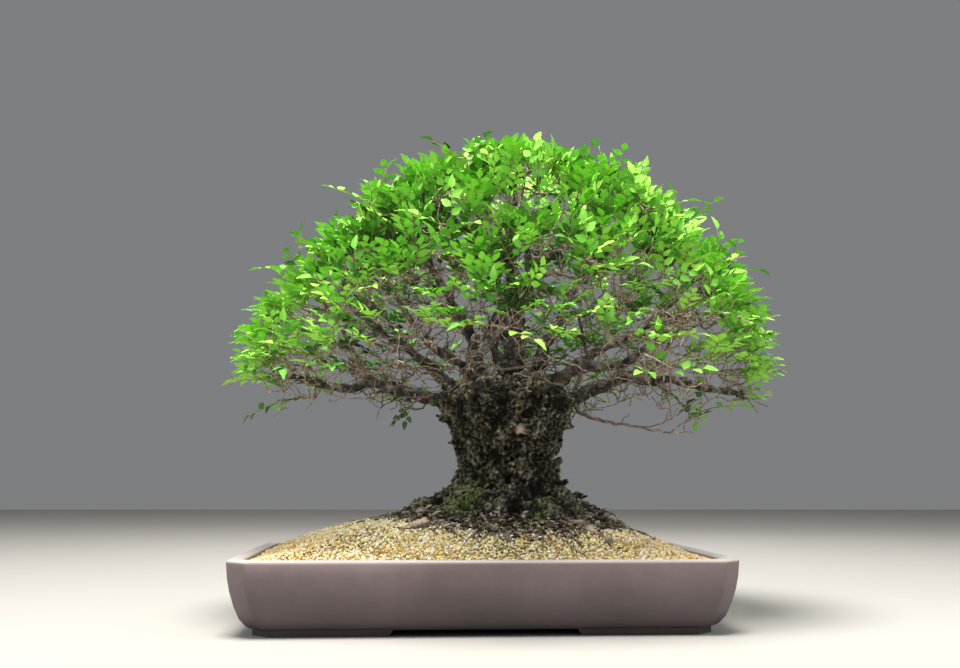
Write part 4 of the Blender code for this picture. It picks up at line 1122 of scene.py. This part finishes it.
def makeLeaves(material):
    rng = random.Random(leaf["seed"])
    shapes = [leafShape(number, *bend) for number, bend in enumerate(leaf["bends"])]
    templates = pointsOf(shapes)
    copies = [[([], []) for _ in shapes] for _ in feet]
    for order, (number, place, scale, rows) in enumerate(shootList):
        # Leaves inside the crown are darker: partly the deeper green of shade leaves, mostly painted shade.
        shaded = max(0.0, leaf["sunlit"] - shareOf(place.translation))
        shadedTone = rng.uniform(*leaf["tones"]) - leaf["shade"] * shaded
        # Painted shade: the solids' own shoots, outermost and lit from above, are toned darker.
        if order < len(feet) * len(sprays["shootTurns"]):
            shadedTone *= leaf["larger"]
        for station, row in enumerate(rows):
            pick = rng.randrange(len(shapes))
            points, tones = copies[number][pick]
            points.append(leafPoints(templates[pick], place, scale, row, rng))
            tone = shadedTone + leaf["toneStep"] * (station - leaf["toneFrom"])
            tone += rng.uniform(-leaf["toneVaries"], leaf["toneVaries"])
            tones.append(min(1.0, max(0.0, tone)))
    for number, parts in enumerate(copies):
        mesh = meshOfCopies(f"leaves_{number + 1:02d}", shapes, parts)
        mesh.shade_smooth()
        dressPiece(f"leaves_{number + 1:02d}", mesh, material, "foliage", f"spray_{number + 1:02d}")
    print("leaves made:", sum(len(rows) for *_, rows in shootList))


makeLeaves(leafMaterial())


# Wood of the crown: limbs and branches with rough skins, then the twigs and the shoots' own stalks

wood = {"limbSides": 12, "branchSides": 8, "twigSides": 4, "relief": 0.0014, "reliefScale": 190.0,
        "limbRelief": 1.6, "limbScale": 0.7, "stalkStops": (0.0, 0.5, 1.0),
        "stalkRadii": (0.00050, 0.00042, 0.00030)}
branchStops = ((0.30, "1d1712"), (0.44, "564b40"), (0.57, "998c7d"), (0.70, "cdc1b1"))
barks = {  # each one's colours and the scale of its flakes, one over their size in metres
    "limb_bark": (((0.34, "0d0b09"), (0.46, "37302a"), (0.56, "7b7265"), (0.68, "c0b7a8")), 110.0),  # near 9 mm
    "branch_bark": (branchStops, 170.0),  # near 6 mm
    "root_bark": (branchStops, 230.0),  # near 4 mm
    "twig_bark": (((0.30, "3a2e26"), (0.48, "8a7565"), (0.66, "dac8b7")), 260.0),  # near 4 mm
    "green_stalk": (((0.30, "6f7434"), (0.70, "a39a4c")), 300.0),  # near 3 mm
}


def roughen(mesh, size, scale):
    bm = bmesh.new()
    bm.from_mesh(mesh)
    bm.normal_update()
    for vert in bm.verts:
        vert.co += vert.normal * size * noise.fractal(vert.co * scale, 1.0, 2.0, 3)
    bm.to_mesh(mesh)
    bm.free()


def makeCrownWood():
    strands = list(zip(skeleton.routes, skeleton.radii))
    coarse = len(lines) + len(branches)
    mesh = tubesMesh("limbs", strands[:len(lines)], wood["limbSides"])
    roughen(mesh, wood["relief"] * wood["limbRelief"], wood["reliefScale"] * wood["limbScale"])
    dressPiece("limbs", mesh, twigBarkMaterial("limb_bark", *barks["limb_bark"]), "bark")
    mesh = tubesMesh("branches", strands[len(lines):coarse], wood["branchSides"])
    roughen(mesh, wood["relief"], wood["reliefScale"])
    dressPiece("branches", mesh, twigBarkMaterial("branch_bark", *barks["branch_bark"]), "bark")
    half = coarse + (len(strands) - coarse) // 2
    material = twigBarkMaterial("twig_bark", *barks["twig_bark"])
    for name, part in (("twigs_inner", strands[coarse:half]), ("twigs_outer", strands[half:])):
        dressPiece(name, tubesMesh(name, part, wood["twigSides"]), material, "bark")
    stalks = []
    for _, place, scale, rows in shootList:
        ends = [rows[-1][0] * share for share in wood["stalkStops"]]
        stalks.append(([place @ Vector((x, 0, arch(x, 0, scale))) for x in ends], wood["stalkRadii"]))
    dressPiece("shoot_stalks", tubesMesh("shoot_stalks", stalks, wood["twigSides"]),
               twigBarkMaterial("green_stalk", *barks["green_stalk"]), "foliage")
    print("crown wood made")


makeCrownWood()


# Trunk: its rings, roots, knobs and limb feet fused into one skin, then weathered

bark = {"voxel": 0.0020, "smooth": 0.5, "stretch": 0.95, "sink": 0.0010,
        "plate": 0.0034, "plateScale": 150.0, "plateLevel": 0.70, "furrow": 2.2,  # plates near 7 mm
        "warp": 1.1, "warpScale": 70, "lump": 0.0075, "lumpScale": 44.0,  # bends near 14 mm, lumps near 23 mm
        "grain": 0.0025, "grainScale": 300.0,  # near 3 mm
        "thick": (1.3, 0.25), "thinsOver": 0.30, "ridge": (0.34, 0.20, 0.36, 0.60), "mossFacing": (0.7, 0.5),
        "mossGrain": 1.1, "mossLess": 0.25, "limbFoot": 0.40, "footPoints": 4, "footSwell": 0.35,
        "tubeSides": 14,
        "bareRoots": (((-110, -96, 101), (-98, -94, 106), (-84, -86, 109)),
                      ((58, -70, 109), (66, -84, 105), (79, -99, 98), (95, -121, 88))),
        "bareRadius": 0.0040, "barePitch": 0.004}
stubs = {"count": 90, "radius": (0.0020, 0.0048), "length": (0.005, 0.013), "low": 0.125, "high": 0.262,
         "inside": 0.9, "out": 0.1, "stray": 0.5, "rise": 0.3, "neck": 0.7, "base": 1.3, "end": 0.8, "seed": 15}
# Each a middle and a radius in millimetres, and a strength.
mossPatches = (((-64, -62, 140), 46, 0.62), ((27, -96, 118), 21, 2.6), ((64, -100, 108), 12, 1.6),
               ((-90, -60, 118), 28, 0.62), ((40, -70, 135), 16, 0.62), ((-20, 85, 130), 30, 0.9),
               ((80, 60, 118), 25, 0.9), ((-30, -62, 172), 24, 0.6))
scars = (((5, -68, 203), 9, 2.2), ((-98, -94, 107), 15, 1.5), ((43, -58, 162), 9, 0.6),
         ((66, -84, 107), 13, 0.9), ((80, -101, 98), 14, 1.1), ((92, -117, 91), 10, 1.0))


def stackRings(bm, levels):
    # A closed body through rings of like corners, each a list of points.
    ring = [bm.verts.new(p) for p in levels[0]]
    bm.faces.new(ring)
    loop = [bm.edges.get((a, b)) for a, b in zip(ring, ring[1:] + ring[:1])]
    for points in levels[1:]:
        made = bmesh.ops.extrude_edge_only(bm, edges=loop)
        loop = [e for e in made["geom"] if isinstance(e, bmesh.types.BMEdge)]
        fresh = [v for v in made["geom"] if isinstance(v, bmesh.types.BMVert)]
        below = {next(e.other_vert(v) for e in v.link_edges if e.other_vert(v) in ring): v for v in fresh}
        ring = [below[v] for v in ring]
        for vert, point in zip(ring, points):
            vert.co = point
    bm.faces.new(ring)
    bmesh.ops.recalc_face_normals(bm, faces=bm.faces)


def trunkLevel(z, radius, number):
    base = max(0.0, min(1.0, (trunk["fluteTop"] - z) / trunk["fluteHeight"]))
    ring = []
    for step in range(trunk["sides"]):
        angle = 2 * math.pi * step / trunk["sides"]
        flute = trunk["fluteDepth"] * base * math.cos(trunk["fluteRate"] * angle + trunk["fluteTurn"])
        lump = sum(size * math.sin(count * angle + number * turn) for size, count, turn in trunk["lumps"])
        r = radius * (1 + flute + lump)
        ring.append(Vector((r * math.cos(angle), r * trunk["depth"] * math.sin(angle), z)))
    return ring


def trunkStrands():
    # The tubes that join the trunk's skin: roots, the limbs' feet, stubs and two bare roots.
    strands = []
    for angle, radius, reach in roots["lines"]:
        route = evenRoute(rootRoute(angle, reach), roots["pitch"])
        start = radius / 1000
        strands.append((route, [start + (start / roots["taper"] - start) * n / (len(route) - 1)
                                for n in range(len(route))]))
    for route, radii in list(zip(skeleton.routes, skeleton.radii))[:len(limbs)]:
        stop = max(bark["footPoints"], int(len(route) * bark["limbFoot"]))
        swell = [r * (1 + bark["footSwell"] * max(0.0, 1 - 2 * n / stop)) for n, r in enumerate(radii[:stop])]
        strands.append((route[:stop], swell))
    rng = random.Random(stubs["seed"])
    for _ in range(stubs["count"]):
        angle, z = rng.uniform(0, 2 * math.pi), rng.uniform(stubs["low"], stubs["high"])
        away = Vector((math.cos(angle), math.sin(angle) * trunk["depth"], 0))
        foot = away * (trunkRadius(z) * stubs["inside"]) + up * z
        heading = (away + wobble(rng, stubs["stray"]) + up * stubs["rise"]).normalized()
        radius, length = rng.uniform(*stubs["radius"]), rng.uniform(*stubs["length"])
        end = foot + away * (trunkRadius(z) * stubs["out"]) + heading * length
        strands.append(([foot, foot.lerp(end, stubs["neck"]), end],
                        [radius * stubs["base"], radius, radius * stubs["end"]]))
    for points in bark["bareRoots"]:
        route = evenRoute([Vector(point) / 1000 for point in points], bark["barePitch"])
        strands.append((route, [bark["bareRadius"]] * len(route)))
    return strands


def trunkCore():
    bm = bmesh.new()
    stackRings(bm, [trunkLevel(z, radius, number) for number, (z, radius) in enumerate(trunk["rings"])])
    for number, (angleDeg, z, size) in enumerate(knobs["places"]):
        angle, z, size = math.radians(angleDeg), z / 1000, size / 1000
        out = trunkRadius(z) - size * knobs["sink"]
        spot = Vector((out * math.cos(angle), out * trunk["depth"] * math.sin(angle), z))
        turn = Matrix.Rotation(number * knobs["turn"], 4, Vector(knobs["axis"]))
        bmesh.ops.create_icosphere(bm, subdivisions=3, radius=size,
                                   matrix=Matrix.Translation(spot) @ turn @ Matrix.Diagonal(knobs["shape"]))
    bm.from_mesh(tubesMesh("trunk_tubes", trunkStrands(), bark["tubeSides"]))
    return meshOf(bm, "trunk_core")


def nearAny(spot, places):
    return max(strength * max(0.0, 1 - (spot * 1000 - Vector(middle)).length / radius)
               for middle, radius, strength in places)


def weather(mesh):
    bm = bmesh.new()
    bm.from_mesh(mesh)
    bmesh.ops.smooth_vert(bm, verts=bm.verts, factor=bark["smooth"], use_axis_x=True, use_axis_y=True,
                          use_axis_z=True)
    bm.normal_update()
    ridge, moss, scar = [bm.verts.layers.float.new(name) for name in ("ridge", "moss", "scar")]
    level, byFurrow, byLump, byGrain = bark["ridge"]
    moves = []
    for vert in bm.verts:
        spot = Vector((vert.co.x, vert.co.y, vert.co.z * bark["stretch"]))
        warp = noise.noise_vector(spot * bark["warpScale"]) * bark["warp"]
        away = noise.voronoi(spot * bark["plateScale"] + warp)[0]
        furrow = min(1.0, (away[1] - away[0]) * bark["furrow"])
        lump = noise.fractal(spot * bark["lumpScale"], 1.0, 2.0, 2)
        grain = noise.fractal(spot * bark["grainScale"], 1.0, 2.0, 2)
        thick = min(1.0, max(bark["thick"][1], bark["thick"][0] - vert.co.z / bark["thinsOver"]))
        cut = nearAny(vert.co, scars)
        calm = 1 - min(1.0, cut)
        height = (bark["plate"] * (furrow - bark["plateLevel"]) + bark["lump"] * lump) * thick * calm
        moves.append(height + bark["grain"] * grain - bark["sink"])
        # Ridge level: paler where the skin is pushed out, darker in furrows; partly the bark's colour, partly
        # painted highlight and shade.
        shown = level + byFurrow * furrow + byLump * lump * calm + byGrain * grain
        vert[ridge] = min(1.0, max(0.0, shown))
        facing = max(0.0, vert.normal.z * bark["mossFacing"][0] + bark["mossFacing"][1])
        grown = nearAny(vert.co, mossPatches)
        if grown > 0:
            mossed = grown * facing + bark["mossGrain"] * grain - bark["mossLess"]
            vert[moss] = min(1.0, max(0.0, mossed))
        vert[scar] = min(1.0, cut)
    for vert, move in zip(bm.verts, moves):
        vert.co += vert.normal * move
    bm.to_mesh(mesh)
    bm.free()


def makeTrunk(material):
    core = bpy.data.objects.new("trunk_core", trunkCore())
    bpy.context.scene.collection.objects.link(core)
    skin = core.modifiers.new("skin", "REMESH")
    skin.mode = "VOXEL"
    skin.voxel_size = bark["voxel"]
    mesh = evaluatedMesh(core)
    bpy.data.objects.remove(core, do_unlink=True)
    weather(mesh)
    mesh.shade_smooth()
    dressPiece("trunk", mesh, material, "bark", "trunk_and_branches")
    print("trunk made:", len(mesh.polygons), "faces")


makeTrunk(trunkBarkMaterial())


# Soil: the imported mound, and loose grains and crumbs of baked clay over it

grains = {"coarse": (0.0021, 0.0044), "coarsePitch": 0.0033, "fine": (0.0013, 0.0026), "finePitch": 0.0060,
          "shapes": 12, "seed": 33, "sink": 0.30, "clearance": 0.001, "cube": 0.80, "rough": (0.74, 1.20),
          "wide": (0.75, 1.0), "thick": (0.6, 0.9), "rowPitch": 0.87, "scatter": 0.45, "downWall": 0.11,
          "offTrunk": 0.93, "offRoots": 0.9, "rootsThin": 0.18, "turn": 6.28, "tip": 3.14}
litter = {"count": 2600, "size": (0.0030, 0.0090), "nearest": 0.084, "farthest": 0.132, "oval": (1.08, 0.96),
          "even": 1.3, "pile": 0.011, "lift": 0.12, "tip": 0.5, "wide": (0.30, 0.65), "thick": (0.25, 0.50)}
fineRoots = {"count": 110, "starts": (0.082, 0.122), "radius": (0.0008, 0.0022), "steps": (5, 10), "step": 0.006,
             "lift": 0.003, "above": 0.3, "fan": 1.3, "bend": 0.6, "taper": 0.6, "sides": 6, "relief": 0.0006,
             "reliefScale": 300.0}


def grainShape(number, wide, thick, rng):
    # A crushed grain or chip: a block with its corners pulled about, about 1 long.
    bm = bmesh.new()
    bmesh.ops.create_cube(bm, size=grains["cube"])
    for vert in bm.verts:
        vert.co *= rng.uniform(*grains["rough"])
    bmesh.ops.scale(bm, vec=(1.0, rng.uniform(*wide), rng.uniform(*thick)), verts=bm.verts)
    bmesh.ops.triangulate(bm, faces=bm.faces)
    return meshOf(bm, f"grain_shape_{number}")


def inTray(x, y, inset):
    halfX, halfY = tray["length"] / 2 - inset, tray["depth"] / 2 - inset
    cut = tray["corner"] - inset * (2 - math.sqrt(2)) + inset * tray["cornerKeep"]
    ax, ay = abs(x - tray["middleX"]), abs(y)
    return ax < halfX and ay < halfY and ax + ay < halfX + halfY - cut


def grainSpots(pitch, sizes, rng):
    # Staggered rows of loose grains over the mound, clear of the walls, the trunk and the roots.
    wallIn = tray["wallInTop"] + (tray["wallInFloor"] - tray["wallInTop"]) * grains["downWall"]
    rootLines = [(rootRoute(angle, reach), radius / 1000) for angle, radius, reach in roots["lines"]]
    segments = [(a, b, start * (1 - grains["rootsThin"] * n)) for route, start in rootLines
                for n, (a, b) in enumerate(zip(route, route[1:]))]
    scatter = grains["scatter"]
    found = []
    for row in range(int(tray["depth"] / (pitch * grains["rowPitch"]))):
        y0 = -tray["depth"] / 2 + row * pitch * grains["rowPitch"]
        for column in range(int(tray["length"] / pitch)):
            x = tray["middleX"] - tray["length"] / 2 + (column + 0.5 * (row % 2)) * pitch
            x += rng.uniform(-scatter, scatter) * pitch
            y = y0 + rng.uniform(-scatter, scatter) * pitch
            size = rng.uniform(*sizes)
            turn = rng.random(), rng.random(), rng.random()
            if not inTray(x, y, wallIn + size / 2 + grains["clearance"]):
                continue
            z = soilHeight(x, y) + size * (0.5 - grains["sink"])
            if math.hypot(x, y / trunk["depth"]) < trunkRadius(z) * grains["offTrunk"]:
                continue
            spot = Vector((x, y, z))
            if any(distanceToSegment(spot, a, b) < r * grains["offRoots"] for a, b, r in segments):
                continue
            found.append((spot, size, turn))
    return found


def addCopy(copies, templates, turn, size, spot, rng):
    pick = rng.randrange(len(templates))
    copies[pick][0].append(templates[pick] @ np.array(turn).T * size + np.array(spot))
    copies[pick][1].append(rng.random())


def makeGrains(name, pitch, sizes, material, rng):
    shapes = [grainShape(number, grains["wide"], grains["thick"], rng) for number in range(grains["shapes"])]
    templates, copies = pointsOf(shapes), [([], []) for _ in shapes]
    for spot, size, (a, b, c) in grainSpots(pitch, sizes, rng):
        turn = (Matrix.Rotation(a * grains["turn"], 3, "Z") @ Matrix.Rotation(b * grains["tip"], 3, "X")
                @ Matrix.Rotation(c * grains["turn"], 3, "Z"))
        addCopy(copies, templates, turn, size, spot, rng)
    dressPiece(name, meshOfCopies(name, shapes, copies), material, "soil")
    print(name, "made:", sum(len(tones) for _, tones in copies))


def roundTrunk(angle, out):
    return out * math.cos(angle) * litter["oval"][0], out * math.sin(angle) * litter["oval"][1]


def makeLitter(rng):
    # Bark flakes that have dropped round the trunk's foot.
    shapes = [grainShape(number, litter["wide"], litter["thick"], rng) for number in range(grains["shapes"])]
    templates, copies = pointsOf(shapes), [([], []) for _ in shapes]
    tip = litter["tip"]
    for _ in range(litter["count"]):
        angle = rng.uniform(0, 2 * math.pi)
        share = rng.random() ** litter["even"]
        x, y = roundTrunk(angle, litter["nearest"] + (litter["farthest"] - litter["nearest"]) * share)
        size = rng.uniform(*litter["size"])
        piled = litter["pile"] * (1 - share) * rng.random()
        spot = Vector((x, y, soilHeight(x, y) + size * litter["lift"] + piled))
        turn = (Matrix.Rotation(rng.uniform(0, grains["turn"]), 3, "Z")
                @ Matrix.Rotation(rng.uniform(-tip, tip), 3, "X")
                @ Matrix.Rotation(rng.uniform(-tip, tip), 3, "Y"))
        addCopy(copies, templates, turn, size, spot, rng)
    dressPiece("bark_litter", meshOfCopies("bark_litter", shapes, copies), litterMaterial(), "soil")


def makeFineRoots(rng):
    # Thin roots that run over the soil round the trunk's foot.
    strands = []
    for _ in range(fineRoots["count"]):
        angle = rng.uniform(0, 2 * math.pi)
        spot = Vector((*roundTrunk(angle, rng.uniform(*fineRoots["starts"])), 0))
        heading = angle + rng.uniform(-fineRoots["fan"], fineRoots["fan"])
        radius = rng.uniform(*fineRoots["radius"])
        route = []
        for _ in range(rng.randint(*fineRoots["steps"])):
            lift = radius * fineRoots["above"] + fineRoots["lift"] * rng.random()
            route.append(Vector((spot.x, spot.y, soilHeight(spot.x, spot.y) + lift)))
            heading += rng.uniform(-fineRoots["bend"], fineRoots["bend"])
            spot += Vector((math.cos(heading), math.sin(heading), 0)) * fineRoots["step"]
        strands.append((route, [radius * (1 - fineRoots["taper"] * n / len(route)) for n in range(len(route))]))
    mesh = tubesMesh("fine_roots", strands, fineRoots["sides"])
    roughen(mesh, fineRoots["relief"], fineRoots["reliefScale"])
    dressPiece("fine_roots", mesh, twigBarkMaterial("root_bark", *barks["root_bark"]), "bark")


def makeSoil():
    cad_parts["soil"].data.materials.clear()
    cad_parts["soil"].data.materials.append(soilBedMaterial())
    rng = random.Random(grains["seed"])
    clay = clayMaterial()
    makeGrains("clay_grains", grains["coarsePitch"], grains["coarse"], clay, rng)
    makeGrains("clay_crumbs", grains["finePitch"], grains["fine"], clay, rng)
    makeLitter(rng)
    makeFineRoots(rng)


makeSoil()


# Drainage screens and clips keep their solids and get their own finish

def finishDrains():
    # Injection-moulded polyethylene mesh: black, with a dull sheen and fine grain.
    mesh = drainMaterial("black_moulded_mesh", 1200.0, ((0.3, "0e0f10"), (0.7, "1d1e20")), (0.4, 0.6),
                         {"IOR": 1.5})
    # Brown anodised aluminium wire: a soft metal shine with a fine grain.
    wire = drainMaterial("brown_anodised_wire", 700.0, ((0.3, "7d6152"), (0.7, "957868")), (0.28, 0.5),
                         {"Metallic": 1.0})
    for name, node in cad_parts.items():
        if name.startswith("drain_"):
            node.data.materials.clear()
            node.data.materials.append(mesh if "screen" in name else wire)


finishDrains()
